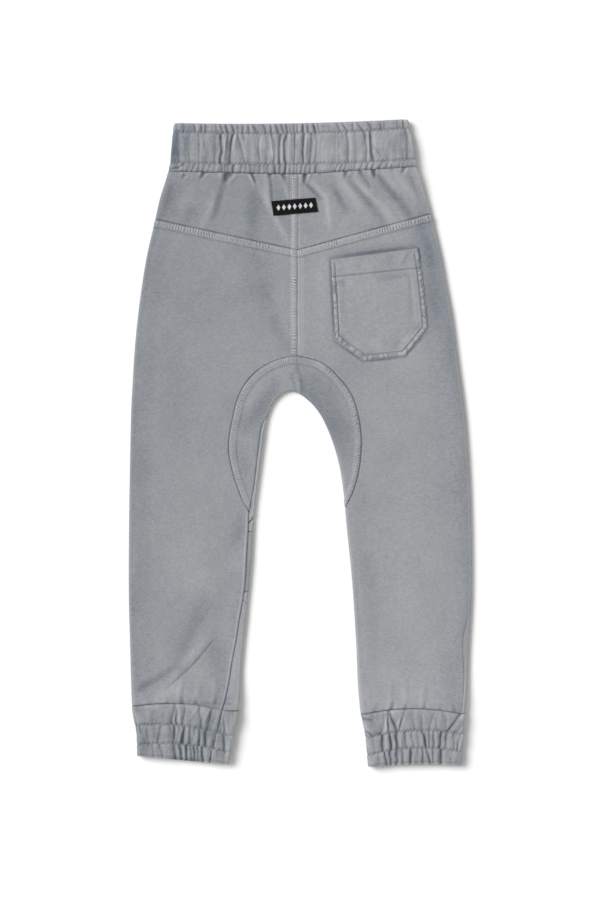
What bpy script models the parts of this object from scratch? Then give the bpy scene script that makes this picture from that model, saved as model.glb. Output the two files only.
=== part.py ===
"""Pull-on joggers for a child of about five, laid flat with the back side up.

A drop-crotch cut in washed terry: a gathered elastic waistband, a two-piece back yoke, a patch pocket, a
gusset that runs round the crotch, ribbed knee panels in the front legs and gathered elastic cuffs.
Every sewn piece is one closed wall of cloth. The back lies on the front, the front rests flat at z = 0,
and at the sides each panel rolls round the folded edge to its seam.

Places are measured as on a cutting table, in millimetres: "down" from the waist edge, and "across" from
the centre line, positive towards the wearer's right. An "offset" runs along the cloth from a folded edge,
positive over the back side and negative under the front side.
"""

import math
from collections import namedtuple

import bmesh
import bpy
import numpy as np

# Driving dimensions, in millimetres.
LENGTH = 646.5  # waist edge to the lowest hem
WALL = 1.8  # thickness of the terry
SEAM_GAP = 0.3  # between two pieces at a seam
BAND_WALL = 4.6  # two layers of terry with the elastic between them
FOLD_DEPTH = 2.3  # how far the fold at a band's open edge lies below its faces
LABEL_WALL = 0.7
POCKET_WALL = 1.7
KNEE_TOP, KNEE_BOTTOM = 411.5, 471.8
RIB_COUNT = 16
RIB_HEIGHT = 0.7
OUTER_AT_CROTCH = 214.0  # where the row that meets the crotch seam reaches the side
ANKLE_TOP = 520.0  # from here down the rows of a leg bow towards the cuff's seam
YOKE_CREASE = 1.3  # how far the cloth stands up between the creases under the waistband
GATHER = 1.6  # how far a gather stands up from its band
CENTRE_SEAM = -2.3  # the centre seams lie a little to the wearer's left of the middle
BULGE_REACH = 22.0  # a folded edge flattens out over this width
HIDDEN_INSEAM = -3.0
UNDER_SEAM = 1.3  # seams of the front lie at least this far in on the flat of the underside
ROUND_EDGE = 9.0  # the rounding of an edge ends within this offset
ROUND_REACH = 14.0  # a piece that ends at a smaller offset than this follows its edge's rounding

Station = namedtuple("Station", "point inward radius")
Spot = namedtuple("Spot", "plan side station offset")
End = namedtuple("End", "station offset stop plan")


def table(names, *rows):
    """Short tables with named columns."""
    return dict(zip(names.split(), np.array(rows, float).T))


# The outline of the folded edges on both sides.
EDGE = table(
    "down left right",
    (0, -124, 107.8), (8, -126.4, 109.8), (30, -129, 115), (48, -130.8, 117.6), (58, -133.5, 121),
    (75, -139, 126), (105, -146, 134), (135, -153, 141), (165, -158, 146.5), (195, -162, 152),
    (225, -165, 156), (255, -167, 160), (295, -169, 165), (340, -170, 168.5), (400, -171, 171),
    (490, -171, 171), (525, -170, 169), (560, -169, 167.5), (586, -167.7, 166), (606, -164.7, 163.8),
    (624, -163.1, 162.6), (648, -162.8, 161.3),
)

# The inner edge of both legs, from the left hem over the crotch to the right hem.
ARCH = table(
    "across down",
    (-71.5, 645), (-69.2, 630), (-66.6, 615), (-63.2, 600), (-60.8, 588), (-59, 552), (-53.2, 490),
    (-48.4, 435), (-46, 397), (-41, 355), (-37, 325), (-32, 296), (-25, 281), (-17, 273.6),
    (-9, 271), (-2, 273), (8, 280), (20, 294), (28, 310), (38, 340), (43.5, 372), (46.2, 402),
    (52, 460), (56, 520), (59.2, 580), (60.8, 594), (63.4, 604), (65.7, 617), (67.2, 634), (68.2, 648),
)

# The yoke seam: its point at the centre seam, and where it reaches each side.
YOKE_POINT = 130.0
YOKE_SIDE = {"left": 100.0, "right": 94.5}

# The seam that sews the gusset to the back, from its left tip to its right tip.
GUSSET_LEFT = table(
    "across down",
    (-50.5, 391), (-55.5, 384), (-62.4, 367.5), (-68.5, 347), (-71.2, 331), (-71, 320), (-67.4, 298.8),
    (-61, 275), (-54.8, 263.6), (-47.1, 254.4), (-37.2, 246.8), (-23.4, 240), (-10, 236.3), (-2.3, 236),
)
GUSSET_RIGHT = table(
    "across down",
    (-2.3, 236), (8, 238), (20, 241.8), (30, 248.3), (39, 257.5), (46.8, 266.7), (53, 277), (59, 297),
    (61.7, 319.5), (61.3, 333), (58.8, 352.5), (52.8, 372.8), (48.6, 382), (45.3, 388),
)

# How high the cloth lies: at the folded edges, and in the middle where the back rests on the front.
HEIGHT = table(
    "down edge middle",
    (0, 10, 10), (56, 10, 10), (66, 8.8, 8.4), (80, 7.3, 6.3), (96, 6.4, 5), (114, 6, 4.4),
    (530, 6, 4.4), (550, 6.3, 4.8), (568, 7.9, 7), (582, 10, 10), (648, 10, 10),
)

# Where the left inseam has rolled up onto the back side; over the crotch it is hidden at the edge.
LEFT_INSEAM = table(
    "down offset",
    (262, -3), (271, -3), (284, -2), (294, 0.5), (305, 4.6), (325, 5.5), (367, 5.2), (391, 6.8),
    (412, 6.2), (431, 6.3), (470, 5.6), (500, 7.9), (522, 9), (540, 10.8), (560, 13), (588, 19),
    (648, 24),
)
RIGHT_OUTSEAM = table("down offset", (0, -6), (474, -6), (487, -1), (500, 4.6), (560, 5.6), (595, 6.6))

# Bands: the lines across them, with the depth of each line down the garment at both sides and between.
WAIST_LINES = table("left centre right", (3.7, 3.9, 0), (12.9, 14.2, 9.4), (43.2, 45, 40), (52, 55, 47.5))
LEFT_CUFF_LINES = table(
    "left centre right", (585.6, 583.4, 590.4), (605, 605, 615), (624.2, 623.4, 631), (636, 639.8, 643.6)
)
RIGHT_CUFF_LINES = table(
    "left centre right", (593.5, 588.3, 593.4), (617, 609.8, 613.3), (634, 627.3, 630.5), (646.5, 643.8, 645)
)

# Gathers: the path of each valley across its band from its upper line to its last, and how deep it is
# against the deepest. One valley of the waistband and one of the left cuff is the band's own seam.
WAIST_GATHERS = table(
    "first upper middle lower last depth",
    (-119, -118.5, -122, -120, -118, 0.5), (-106.5, -104.5, -111, -108.5, -110.5, 0.45),
    (-98.5, -97.5, -100, -100.5, -101, 0.5), (-91, -90, -91.5, -93, -94.5, 0.35),
    (-84.5, -82, -83.5, -85, -84.5, 0.4), (-79, -77.5, -78.5, -77.5, -78, 0.9),
    (-73.5, -71.5, -74, -72.5, -73, 0.8), (-67.5, -65.5, -69.5, -66.7, -67, 1),
    (-62, -61.5, -63, -60, -59.5, 0.4), (-57.5, -56, -56.5, -51.5, -53.5, 0.7),
    (-51.5, -49.5, -50, -46.5, -48.5, 0.45), (-44, -40, -40.2, -41.5, -40.5, 0.5),
    (-36.5, -33.5, -32.5, -35, -35.5, 0.5), (-30, -28.5, -28, -28, -30, 0.6),
    (-23, -20.5, -21, -21, -23.5, 0.9), (-14, -13.5, -13.5, -14, -15, 1),
    (-5.5, -5, -5, -5.2, -5, 0.5),
    (3, 4.5, 3.8, 3, 2.5, 1), (8.5, 10, 10.5, 11.5, 9, 1), (14, 16, 14.5, 16, 14, 0.6),
    (26, 27, 27, 27, 26, 0.1), (37, 39.5, 38.6, 37, 36.5, 0.5), (42, 47, 48.4, 48.8, 45.5, 0.5),
    (52, 55, 54, 55, 54, 0.3), (58, 61, 59, 59.5, 59, 0.4), (65, 67.5, 65.8, 66.5, 66, 0.7),
    (70, 73, 71.5, 74, 72.5, 1), (81, 82, 79.5, 82.5, 81, 0.3), (89, 91, 91, 92, 91, 0.3),
    (97, 99, 98.5, 100, 99.5, 0.3), (102, 104.2, 105.5, 105, 104.5, 0.5),
)
LEFT_CUFF_GATHERS = table(
    "first upper middle lower last depth",
    (-155, -154.5, -156, -155, -154, 0.2), (-141, -142, -138.5, -141.5, -138, 0.4),
    (-131, -130.5, -129.5, -131, -131, 0.2), (-125, -124.5, -126, -125.3, -124, 1),
    (-112.6, -115.3, -117, -117, -116, 1), (-104, -107, -109.2, -108.4, -105, 0.6),
    (-99.6, -98.5, -99.6, -101.2, -101.2, 0.5), (-86.2, -92, -93, -95.4, -97, 1),
    (-77, -83.2, -84.3, -87.4, -90.5, 0.6), (-73, -80.4, -79.8, -81.5, -84, 0.3),
    (-69, -74, -75.5, -76.5, -79, 0.5),
)
WAIST_SEAM_VALLEY = 16
LEFT_CUFF_SEAM_VALLEY = 8
RIGHT_CUFF_GATHERS = table(
    "first upper middle lower last depth",
    (71, 73, 73.4, 75, 76, 0.3), (84, 81.4, 82.9, 83.7, 86.4, 1), (87.8, 87.9, 90, 90.4, 90.8, 1),
    (92, 96.3, 96.7, 97.8, 96, 1), (109, 106.3, 105.9, 105.1, 103.2, 0.4),
    (114, 113.9, 113, 113.5, 111.5, 0.3), (121.6, 121.6, 123.1, 122.5, 123.5, 0.8),
    (130, 129.2, 127.5, 129, 129.5, 0.7), (139.5, 139.2, 137.2, 135, 136.5, 0.8),
    (150, 147.2, 145.3, 141.5, 141, 1), (157, 155.5, 154.5, 152.5, 153, 0.25),
)

# Creases that fan out from the waist seam, and the long folds of the lower left leg and of both ankles.
YOKE_CREASES = table(
    "across lean",
    (-115, -8), (-97, -14), (-75, -10), (-52, 3), (-38, 4), (-30, 2), (-13, 0), (5, 2), (29, 4),
    (46, 8), (78, 12), (92, 14), (105, 8),
)
LONG_FOLDS = table(
    "across0 down0 across1 down1 height width",
    (-83, 521, -133, 569.5, 2.2, 9), (-128, 556, -167, 576, 1.6, 12), (-117, 556, -122, 584, 1.6, 5),
    (-100, 560, -103, 582, 1.2, 5), (-84, 556, -86, 584, 1.2, 5), (91, 560, 90, 589, 1.4, 5),
    (104, 556, 107, 588, 1.2, 5), (124, 562, 122, 588, 1, 5),
)

# The patch pocket, row by row from its hem to its foot, and the label's corners.
POCKET = table(
    "left left_down right right_down",
    (30.2, 139, 118.2, 127.3), (31.6, 160, 121.6, 149), (32.9, 179, 124.2, 171), (34, 199, 126.3, 191),
    (35.2, 218.5, 127.8, 208), (50, 229.5, 116.8, 221.7), (65.2, 240.3, 105.4, 235.7),
)
LABEL = table("left left_down right right_down", (-28.7, 81.4, 15.3, 78), (-26.6, 95.9, 18, 91.9))


def smooth(knots, values, at):
    """A curve through a table's rows, with each slope taken from the rows beside it."""
    slopes = np.gradient(values, knots)
    at = np.clip(np.asarray(at, float), knots[0], knots[-1])
    row = np.clip(np.searchsorted(knots, at) - 1, 0, len(knots) - 2)
    span = knots[row + 1] - knots[row]
    t = (at - knots[row]) / span
    start = (1 + 2 * t) * (1 - t) ** 2 * values[row] + t * (1 - t) ** 2 * span * slopes[row]
    end = t * t * (3 - 2 * t) * values[row + 1] - t * t * (1 - t) * span * slopes[row + 1]
    return start + end


def ease(t):
    """0 up to t = 0, 1 from t = 1, and smooth between."""
    t = np.clip(t, 0, 1)
    return t * t * (3 - 2 * t)


def path(places, count):
    """Evenly spaced points on the curve through a table of places."""
    across, down = places["across"], places["down"]
    along = np.concatenate([[0], np.cumsum(np.hypot(np.diff(across), np.diff(down)))])
    at = np.linspace(0, along[-1], count)
    return np.stack([smooth(along, across, at), smooth(along, down, at)], axis=1)


ARCH_LINE = path(ARCH, 900)
ARCH_CROWN = int(np.argmin(ARCH_LINE[:, 1]))
ARCH_TANGENT = np.gradient(ARCH_LINE, axis=0)
ARCH_TANGENT /= np.linalg.norm(ARCH_TANGENT, axis=1)[:, None]


def edge_radius(down):
    return float(np.interp(down, HEIGHT["down"], HEIGHT["edge"])) / 2


def side_station(side, down):
    """A place on the left or the right folded edge, whose rows run straight across the garment."""
    across = float(smooth(EDGE["down"], EDGE[side], down))
    inward = np.array([1.0 if side == "left" else -1.0, 0.0])
    return Station(np.array([across, down]), inward, edge_radius(down))


def arch_station(index):
    """A place on the inner edge, by its number on the line."""
    tangent = ARCH_TANGENT[index]
    return Station(ARCH_LINE[index], np.array([tangent[1], -tangent[0]]), edge_radius(ARCH_LINE[index][1]))


def leg_station(leg, down):
    """A place on the inner edge of one leg, by how far down it is."""
    part = slice(0, ARCH_CROWN) if leg == "left" else slice(ARCH_CROWN, None)
    line = ARCH_LINE[part]
    order = np.argsort(line[:, 1])
    across = np.interp(down, line[order, 1], line[order, 0])
    inward = np.array([-1.0 if leg == "left" else 1.0, 0.0])
    return Station(np.array([across, down]), inward, edge_radius(down))


def edge_distance(plan):
    """How far a place lies inside the nearest folded edge."""
    left = plan[0] - float(smooth(EDGE["down"], EDGE["left"], plan[1]))
    right = float(smooth(EDGE["down"], EDGE["right"], plan[1])) - plan[0]
    arch = np.linalg.norm(ARCH_LINE - plan, axis=1).min()
    return min(left, right, arch)


def lie(plan):
    """The height of the back's upper face, without creases."""
    middle = float(np.interp(plan[1], HEIGHT["down"], HEIGHT["middle"]))
    radius = edge_radius(plan[1])
    return middle + (2 * radius - middle) * (1 - ease((edge_distance(plan) - radius) / BULGE_REACH))


def crease_rise(plan):
    """How far the back stands up in folds: under the waistband, on the lower left leg and at the ankles."""
    below = plan[1] - waist_seam(plan[0])
    rise = 0.0
    if below < 30:
        away = np.abs(plan[0] - YOKE_CREASES["across"] - YOKE_CREASES["lean"] * below / 30)
        rise = YOKE_CREASE * float(ease(away.min() / 5)) * (1 - float(ease(below / 28)))
    for fold in range(len(LONG_FOLDS["height"])):
        start = np.array([LONG_FOLDS["across0"][fold], LONG_FOLDS["down0"][fold]])
        run = np.array([LONG_FOLDS["across1"][fold], LONG_FOLDS["down1"][fold]]) - start
        along = float(np.dot(plan - start, run) / np.dot(run, run))
        aside = abs(run[0] * (plan[1] - start[1]) - run[1] * (plan[0] - start[0])) / np.linalg.norm(run)
        if 0 < along < 1 and aside < LONG_FOLDS["width"][fold]:
            crest = 1 - float(ease(aside / LONG_FOLDS["width"][fold]))
            rise = max(rise, LONG_FOLDS["height"][fold] * crest * math.sin(math.pi * along) ** 0.7)
    inside = edge_distance(plan) - edge_radius(plan[1])
    return rise * float(ease(inside / 6))


def waist_seam(across):
    """How far down the waistband is sewn on: a shallow V to the centre seam."""
    left, centre, right = (WAIST_LINES[name][-1] for name in ("left", "centre", "right"))
    ends = [turn_point(side_station(side, down)) for side, down in (("left", left), ("right", right))]
    return float(np.interp(across, (ends[0], CENTRE_SEAM, ends[1]), (left, centre, right)))


def on_edge(station, offset):
    """A spot that lies an offset along the cloth from a folded edge."""
    quarter = station.radius * math.pi / 2
    if abs(offset) <= quarter:
        return Spot(None, 0, station, offset)
    inset = station.radius + abs(offset) - quarter
    return Spot(station.point + station.inward * inset, 1 if offset > 0 else -1, None, None)


def flat_spot(plan, side):
    return Spot(np.asarray(plan, float), side, None, None)


def position(spot, depth, rise=0.0):
    """Where a spot is in space, below the cloth's outer face by the depth given."""
    if spot.station is not None:
        angle = spot.offset / spot.station.radius
        radius = spot.station.radius - depth + rise * 0.5 * (1 + math.sin(angle))
        plan = spot.station.point + spot.station.inward * (spot.station.radius - radius * math.cos(angle))
        height = spot.station.radius + radius * math.sin(angle)
    else:
        plan = spot.plan
        height = lie(plan) + rise - depth if spot.side > 0 else depth
    return np.array([plan[0], LENGTH / 2 - plan[1], height])


def offset_of(inset, radius):
    """The offset along the cloth of a place on the back side that lies an inset from the edge in plan."""
    if inset >= radius:
        return radius * math.pi / 2 + inset - radius
    return radius * math.acos(1 - inset / radius)


def end_plan(end):
    if end.plan is not None:
        return end.plan
    spot = on_edge(end.station, end.offset)
    return spot.plan if spot.plan is not None else end.station.point


def end_block(end, toward, side, columns):
    """The spots of a row next to one of its ends, closer together where the piece turns round an edge."""
    if end.station is not None and end.offset * side < ROUND_REACH:
        offsets = np.linspace(end.offset, end.stop, columns)
        if end.offset * side < 0 and columns > 2:
            second = np.clip(offsets[1], -ROUND_EDGE, ROUND_EDGE)
            offsets[1:] = np.linspace(second, end.stop, columns - 1)
        return [on_edge(end.station, offset) for offset in offsets]
    start = end_plan(end)
    step = 2.2 * (toward - start) / np.linalg.norm(toward - start)
    return [flat_spot(start + step * number, side) for number in range(columns)]


def panel_rows(starts, stops, side, columns):
    """Rows of spots between two lists of ends. columns is (at the start, between, at the stop)."""
    rows = []
    for start, stop in zip(starts, stops):
        head = end_block(start, end_plan(stop), side, columns[0])
        tail = end_block(stop, end_plan(start), side, columns[2])
        first, last = head[-1].plan, tail[-1].plan
        between = [
            flat_spot(first + (last - first) * number / (columns[1] + 1), side)
            for number in range(1, columns[1] + 1)
        ]
        rows.append(head + between + tail[::-1])
    return rows


def turn_point(station):
    """Where a folded edge has turned into the flat of the back side."""
    return station.point[0] + station.inward[0] * station.radius


def level_row(row, start, stop, bow=0.0):
    """Lays a row's flat spots on a line between two places (across, down), bowed in its middle."""
    levelled = []
    for spot in row:
        if spot.plan is not None:
            share = np.clip((spot.plan[0] - start[0]) / (stop[0] - start[0]), 0, 1)
            down = start[1] + (stop[1] - start[1]) * share + bow * 4 * share * (1 - share)
            spot = flat_spot((spot.plan[0], down), spot.side)
        levelled.append(spot)
    return levelled


def level_leg(rows, downs, leg, lines):
    """Levels the rows of a leg below the gusset, and bows them more and more towards the cuff's seam."""
    bow = lines["centre"][0] - (lines["left"][0] + lines["right"][0]) / 2
    levelled = list(rows[: len(rows) - len(downs)])
    for row, (inner, outer) in zip(rows[len(levelled) :], downs):
        share = float(ease((inner - ANKLE_TOP) / (lines["centre"][0] - ANKLE_TOP)))
        if inner == downs[-1][0]:
            share = 1.0
        start = (turn_point(leg_station(leg, inner)), inner)
        stop = (turn_point(side_station(leg, outer)), outer)
        levelled.append(level_row(row, start, stop, bow * share))
    return levelled


def cloth_material(name, colour, roughness):
    material = bpy.data.materials.new(name)
    material.use_nodes = True
    shader = material.node_tree.nodes["Principled BSDF"]
    shader.inputs["Base Color"].default_value = (*colour, 1)
    shader.inputs["Roughness"].default_value = roughness
    shader.inputs["Metallic"].default_value = 0
    return material


TERRY_COLOUR = (0.31, 0.325, 0.345)
RIB_COLOUR = (0.29, 0.305, 0.325)
LABEL_COLOUR = (0.012, 0.012, 0.013)


def zip_edge(fine, coarse):
    """Triangles between a fine row of points and a coarse one. coarse holds (number in the row, point)."""
    faces = []
    for (start, near), (stop, far) in zip(coarse, coarse[1:]):
        turn = (start + stop + 1) // 2
        for number in range(start, stop):
            faces.append((fine[number], fine[number + 1], near if number < turn else far))
        faces.append((fine[turn], far, near))
    return faces


def shell(name, outer, inner, kept_rows, kept_columns, colour=TERRY_COLOUR, roughness=0.9):
    """One closed wall: a fine outer face, a plain inner face of the kept rows and columns, and its rims."""
    outer, inner = np.array(outer), np.array(inner)
    rows, columns = outer.shape[:2]
    points = [tuple(point * 0.001) for point in outer.reshape(-1, 3)]
    back = {}
    for row in kept_rows:
        for column in kept_columns:
            back[row, column] = len(points)
            points.append(tuple(inner[row, column] * 0.001))
    front = np.arange(rows * columns).reshape(rows, columns)
    faces = [
        (front[r, c], front[r, c + 1], front[r + 1, c + 1], front[r + 1, c])
        for r in range(rows - 1)
        for c in range(columns - 1)
    ]
    for r0, r1 in zip(kept_rows, kept_rows[1:]):
        for c0, c1 in zip(kept_columns, kept_columns[1:]):
            faces.append((back[r0, c0], back[r1, c0], back[r1, c1], back[r0, c1]))
    for row in (0, rows - 1):
        faces += zip_edge(front[row], [(c, back[row, c]) for c in kept_columns])
    for column in (0, columns - 1):
        faces += zip_edge(front[:, column], [(r, back[r, column]) for r in kept_rows])
    mesh = bpy.data.meshes.new(name)
    mesh.from_pydata(points, [], [tuple(int(corner) for corner in face) for face in faces])
    welded = bmesh.new()
    welded.from_mesh(mesh)
    bmesh.ops.recalc_face_normals(welded, faces=welded.faces)
    welded.to_mesh(mesh)
    welded.free()
    mesh.materials.append(cloth_material(name, colour, roughness))
    mesh.shade_smooth()
    mesh.set_sharp_from_angle(angle=math.radians(50))
    piece = bpy.data.objects.new(name, mesh)
    bpy.context.collection.objects.link(piece)
    return piece


def every(count, step):
    """0, step, 2 * step ... and the last one below count."""
    return sorted(set(range(0, count, step)) | {count - 1})


def kept_of(columns):
    """The columns that the inner face keeps: some round each edge and a few between."""
    head, between, tail = columns
    total = head + between + tail
    kept = set(every(head, 2)) | {total - 1 - number for number in every(tail, 2)}
    return sorted(kept | {head - 1 + number for number in range(0, between + 1, 2)})


def panel(name, rows, columns, rise=None, kept_rows=None, colour=TERRY_COLOUR):
    """A single piece of cloth on its rows of spots."""
    outer = [[position(spot, 0, rise(spot) if rise else 0.0) for spot in row] for row in rows]
    inner = [[position(spot, WALL) for spot in row] for row in rows]
    shell(name, outer, inner, kept_rows or range(len(rows)), kept_of(columns), colour)


def folds_of(spot):
    return crease_rise(spot.plan) if spot.side > 0 else 0.0


# --- Seams shared by two pieces -------------------------------------------------------------------------


def gusset_stations(places, count):
    """For each place along the gusset's seam: the inner edge next to it, and the offsets of its seams."""
    found = []
    for place in path(places, count):
        index = int(np.argmin(np.linalg.norm(ARCH_LINE - place, axis=1)))
        station = arch_station(index)
        toward = place - station.point
        inset = float(np.linalg.norm(toward))
        if inset > 2:
            station = Station(station.point, toward / inset, station.radius)
        left = index < ARCH_CROWN
        inseam = float(smooth(LEFT_INSEAM["down"], LEFT_INSEAM["offset"], place[1] if left else 262))
        if left and inset > 20:
            inseam = float(smooth(LEFT_INSEAM["down"], LEFT_INSEAM["offset"], station.point[1]))
        back = max(offset_of(inset, station.radius), inseam + 1.0)
        if not left and inset < 1:
            back = inseam + 1.0
        found.append((station, inseam, back))
    return found


LEFT_ROUND = gusset_stations(GUSSET_LEFT, 24)
RIGHT_ROUND = gusset_stations(GUSSET_RIGHT, 22)
LEFT_TIP = LEFT_ROUND[0][0].point[1]
RIGHT_TIP = RIGHT_ROUND[-1][0].point[1]
HALF_GAP = SEAM_GAP / 2


def under_offset(down):
    """The offset of a seam that lies just inside the underside."""
    return -edge_radius(down) * math.pi / 2 - UNDER_SEAM


def front_offset(station, inseam, back):
    """The gusset's front seam mirrors its back seam, but stays on the flat of the underside."""
    return min(2 * inseam - back, under_offset(station.point[1]))


def inseam_offset(leg, down):
    if leg == "right":
        return HIDDEN_INSEAM
    return float(smooth(LEFT_INSEAM["down"], LEFT_INSEAM["offset"], down))


def outseam_offset(leg, down):
    if leg == "left" or down < RIGHT_OUTSEAM["down"][1]:
        return under_offset(down)
    return float(smooth(RIGHT_OUTSEAM["down"], RIGHT_OUTSEAM["offset"], down))


def centre_end(leg, down):
    """An end of a row at the centre seam."""
    shift = HALF_GAP if leg == "right" else -HALF_GAP
    return End(None, None, None, np.array([CENTRE_SEAM + shift, down]))


def outer_end(leg, side, down):
    """An end of a row at the outseam, on the back piece or on the front piece."""
    offset = outseam_offset(leg, down) + side * HALF_GAP
    return End(side_station(leg, down), offset, side * 9.5, None)


def stop_of(offset, side):
    """Where the block of spots next to a seam stops, past the edge's rounding."""
    return max(ROUND_EDGE, offset + 6) if side > 0 else min(-ROUND_EDGE, offset - 6)


def inner_end(leg, side, down):
    """An end of a row at the inseam."""
    offset = inseam_offset(leg, down) + side * HALF_GAP
    return End(leg_station(leg, down), offset, stop_of(offset, side), None)


def gusset_end(side, station, inseam, back):
    """An end of a row at the gusset's seam, on the body side of it."""
    reach = back if side > 0 else front_offset(station, inseam, back)
    offset = reach + side * HALF_GAP
    return End(station, offset, stop_of(offset, side), None)


def body_ends(leg, side, top_down, top_outer, rows_above):
    """The ends of the rows from the top seam to the gusset's tip: at the middle of the body and outside."""
    ring = LEFT_ROUND[::-1] if leg == "left" else RIGHT_ROUND
    crotch = end_plan(gusset_end(side, *ring[0]))[1]
    tip = LEFT_TIP if leg == "left" else RIGHT_TIP
    middles = [centre_end(leg, down) for down in np.linspace(top_down, crotch, rows_above)]
    middles += [gusset_end(side, *place) for place in ring[1:]]
    outers = list(np.linspace(top_outer, OUTER_AT_CROTCH, rows_above))
    share = np.linspace(0, 1, len(ring))[1:]
    outers += [OUTER_AT_CROTCH + (tip - OUTER_AT_CROTCH) * part for part in share]
    return middles, [outer_end(leg, side, down) for down in outers]


def leg_downs(leg, lines):
    """Where the rows of a leg lie below the gusset's tip, as lists of (inner, outer) for each length.

    The last row keeps a wider gap, because its bowed seam is straight between one spot and the next.
    """
    tip = LEFT_TIP if leg == "left" else RIGHT_TIP
    inner, outer = ("right", "left") if leg == "left" else ("left", "right")
    ends = (lines[inner][0] - SEAM_GAP, lines[outer][0] - SEAM_GAP)
    thigh = [(down, down) for down in np.linspace(tip, KNEE_TOP, 3)[1:]]
    knee = [(down, down) for down in np.linspace(KNEE_TOP, KNEE_BOTTOM, 6)[1:]]
    shin = [
        [KNEE_BOTTOM + (end - KNEE_BOTTOM) * share for end in ends]
        for share in np.linspace(0, 1, 12)[1:]
    ]
    return thigh, knee, shin


# --- Waistband and cuffs --------------------------------------------------------------------------------

BAND_LEVELS = (0, 0.09, 0.27, 0.6, 1, 1.14, 1.36, 1.64, 1.86, 2, 2.4, 2.75, 3)
CUFF_LEVELS = (3, 2.96, 2.86, 2.55, 2.2, 2, 1.8, 1.5, 1.2, 1, 0.85, 0.5, 0)
GATHER_SPOTS = (0, 0.3, 0.7)  # valley, and two shoulders, as shares of the way to the next valley
EDGE_SHARES = (-1, -0.5, 0, 0.5, 1)  # spots round a folded edge, as shares of its quarter turns


def line_down(lines, share, level):
    """How far down a band's line lies, at a share of its width, for a level between the lines."""
    left, centre, right = (float(np.interp(level, range(4), lines[k])) for k in ("left", "centre", "right"))
    return left + (right - left) * share + (centre - (left + right) / 2) * 4 * share * (1 - share)


def cuff_edges(lines, leg, level):
    """The outer and the inner folded edge of a cuff."""
    left, right = line_down(lines, 0, level), line_down(lines, 1, level)
    if leg == "left":
        return side_station("left", left), leg_station("left", right)
    return side_station("right", right), leg_station("right", left)


def pinch(level):
    """How free a gather is at a level: held by the stitch rows at 1 and 2 and by the seam."""
    if level < 1:
        return math.cos(level * math.pi / 2)
    if level < 2:
        return math.sin((level - 1) * math.pi) ** 0.6
    return math.sin((level - 2) * math.pi * 0.8) ** 0.8


def gather_columns(gathers, level, low, high):
    """The places of a band's upper columns at one level, and how high each stands, from low to high."""
    names = ("first", "upper", "middle", "lower", "last")
    valleys = [
        float(np.interp(level, (0, 1, 1.5, 2, 3), [gathers[name][number] for name in names]))
        for number in range(len(gathers["depth"]))
    ]
    depths = [0.4, *gathers["depth"], 0.4]
    valleys = [low, *valleys, high]
    found = []
    for number, (here, there) in enumerate(zip(valleys, valleys[1:])):
        for share in GATHER_SPOTS[0 if number else 1 :]:
            found.append((here + (there - here) * share, 1 - depths[number] if share == 0 else 1.0))
    return found


def band_outline(lines, level, left, right, gathers):
    """The spots once round a flat-lying tube at one level, from its left edge over the back side."""
    quarter = [station.radius * math.pi / 2 for station in (left, right)]
    low, high = turn_point(left), turn_point(right)

    def place(across, side):
        return flat_spot((across, line_down(lines, (across - low) / (high - low), level)), side)

    ring = [(on_edge(left, quarter[0] * share), 0.0) for share in EDGE_SHARES]
    for across, height in gather_columns(gathers, level, low, high):
        ring.append((place(across, 1), height))
    ring += [(on_edge(right, quarter[1] * share), 0.0) for share in EDGE_SHARES[::-1]]
    ring += [(place(high + (low - high) * share, -1), 0.0) for share in np.linspace(0, 1, 9)[1:-1]]
    return ring


def band(name, levels, outline, split):
    """A gathered tube, open at its seam: the columns run once round from the seam back to it.

    Its levels start at the folded edge, which lies lower than the band's faces.
    """
    outer, inner = [], []
    for level in levels:
        ring = split(outline(level))
        from_fold = abs(level - levels[0])
        depth = FOLD_DEPTH * float(1 - ease(from_fold / 0.27))
        puff = GATHER * pinch(from_fold)
        outer.append([position(spot, depth, puff * height * (spot.side > 0)) for spot, height in ring])
        inner.append([position(spot, BAND_WALL) for spot, _ in ring])
    outer, inner = np.array(outer).transpose(1, 0, 2), np.array(inner).transpose(1, 0, 2)
    kept_columns = every(len(levels), 3)
    shell(name, outer, inner, every(len(outer), 6), kept_columns)


def split_at(valley):
    """Cuts a ring at the seam in one of its valleys, and starts and ends it there."""

    def split(ring):
        number = len(EDGE_SHARES) + len(GATHER_SPOTS) - 1 + len(GATHER_SPOTS) * valley
        seam, height = ring[number]
        shift = np.array([HALF_GAP, 0])
        start = (flat_spot(seam.plan + shift, 1), height)
        stop = (flat_spot(seam.plan - shift, 1), height)
        return [start, *ring[number + 1 :], *ring[:number], stop]

    return split


def build_waistband():
    """A band of doubled cloth, folded at the waist edge, with a flat elastic between two stitch rows."""

    def outline(level):
        left = side_station("left", line_down(WAIST_LINES, 0, level) - (HALF_GAP if level == 3 else 0))
        right = side_station("right", line_down(WAIST_LINES, 1, level) - (HALF_GAP if level == 3 else 0))
        ring = band_outline(WAIST_LINES, level, left, right, WAIST_GATHERS)
        lowered = []
        for spot, height in ring:
            if spot.plan is not None and level >= 2:
                seam = waist_seam(spot.plan[0]) - HALF_GAP
                share = (spot.plan[0] - turn_point(left)) / (turn_point(right) - turn_point(left))
                row = line_down(WAIST_LINES, share, 2)
                spot = flat_spot((spot.plan[0], row + (seam - row) * (level - 2)), spot.side)
            lowered.append((spot, height))
        return lowered

    band("waistband", BAND_LEVELS, outline, split_at(WAIST_SEAM_VALLEY))


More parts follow.
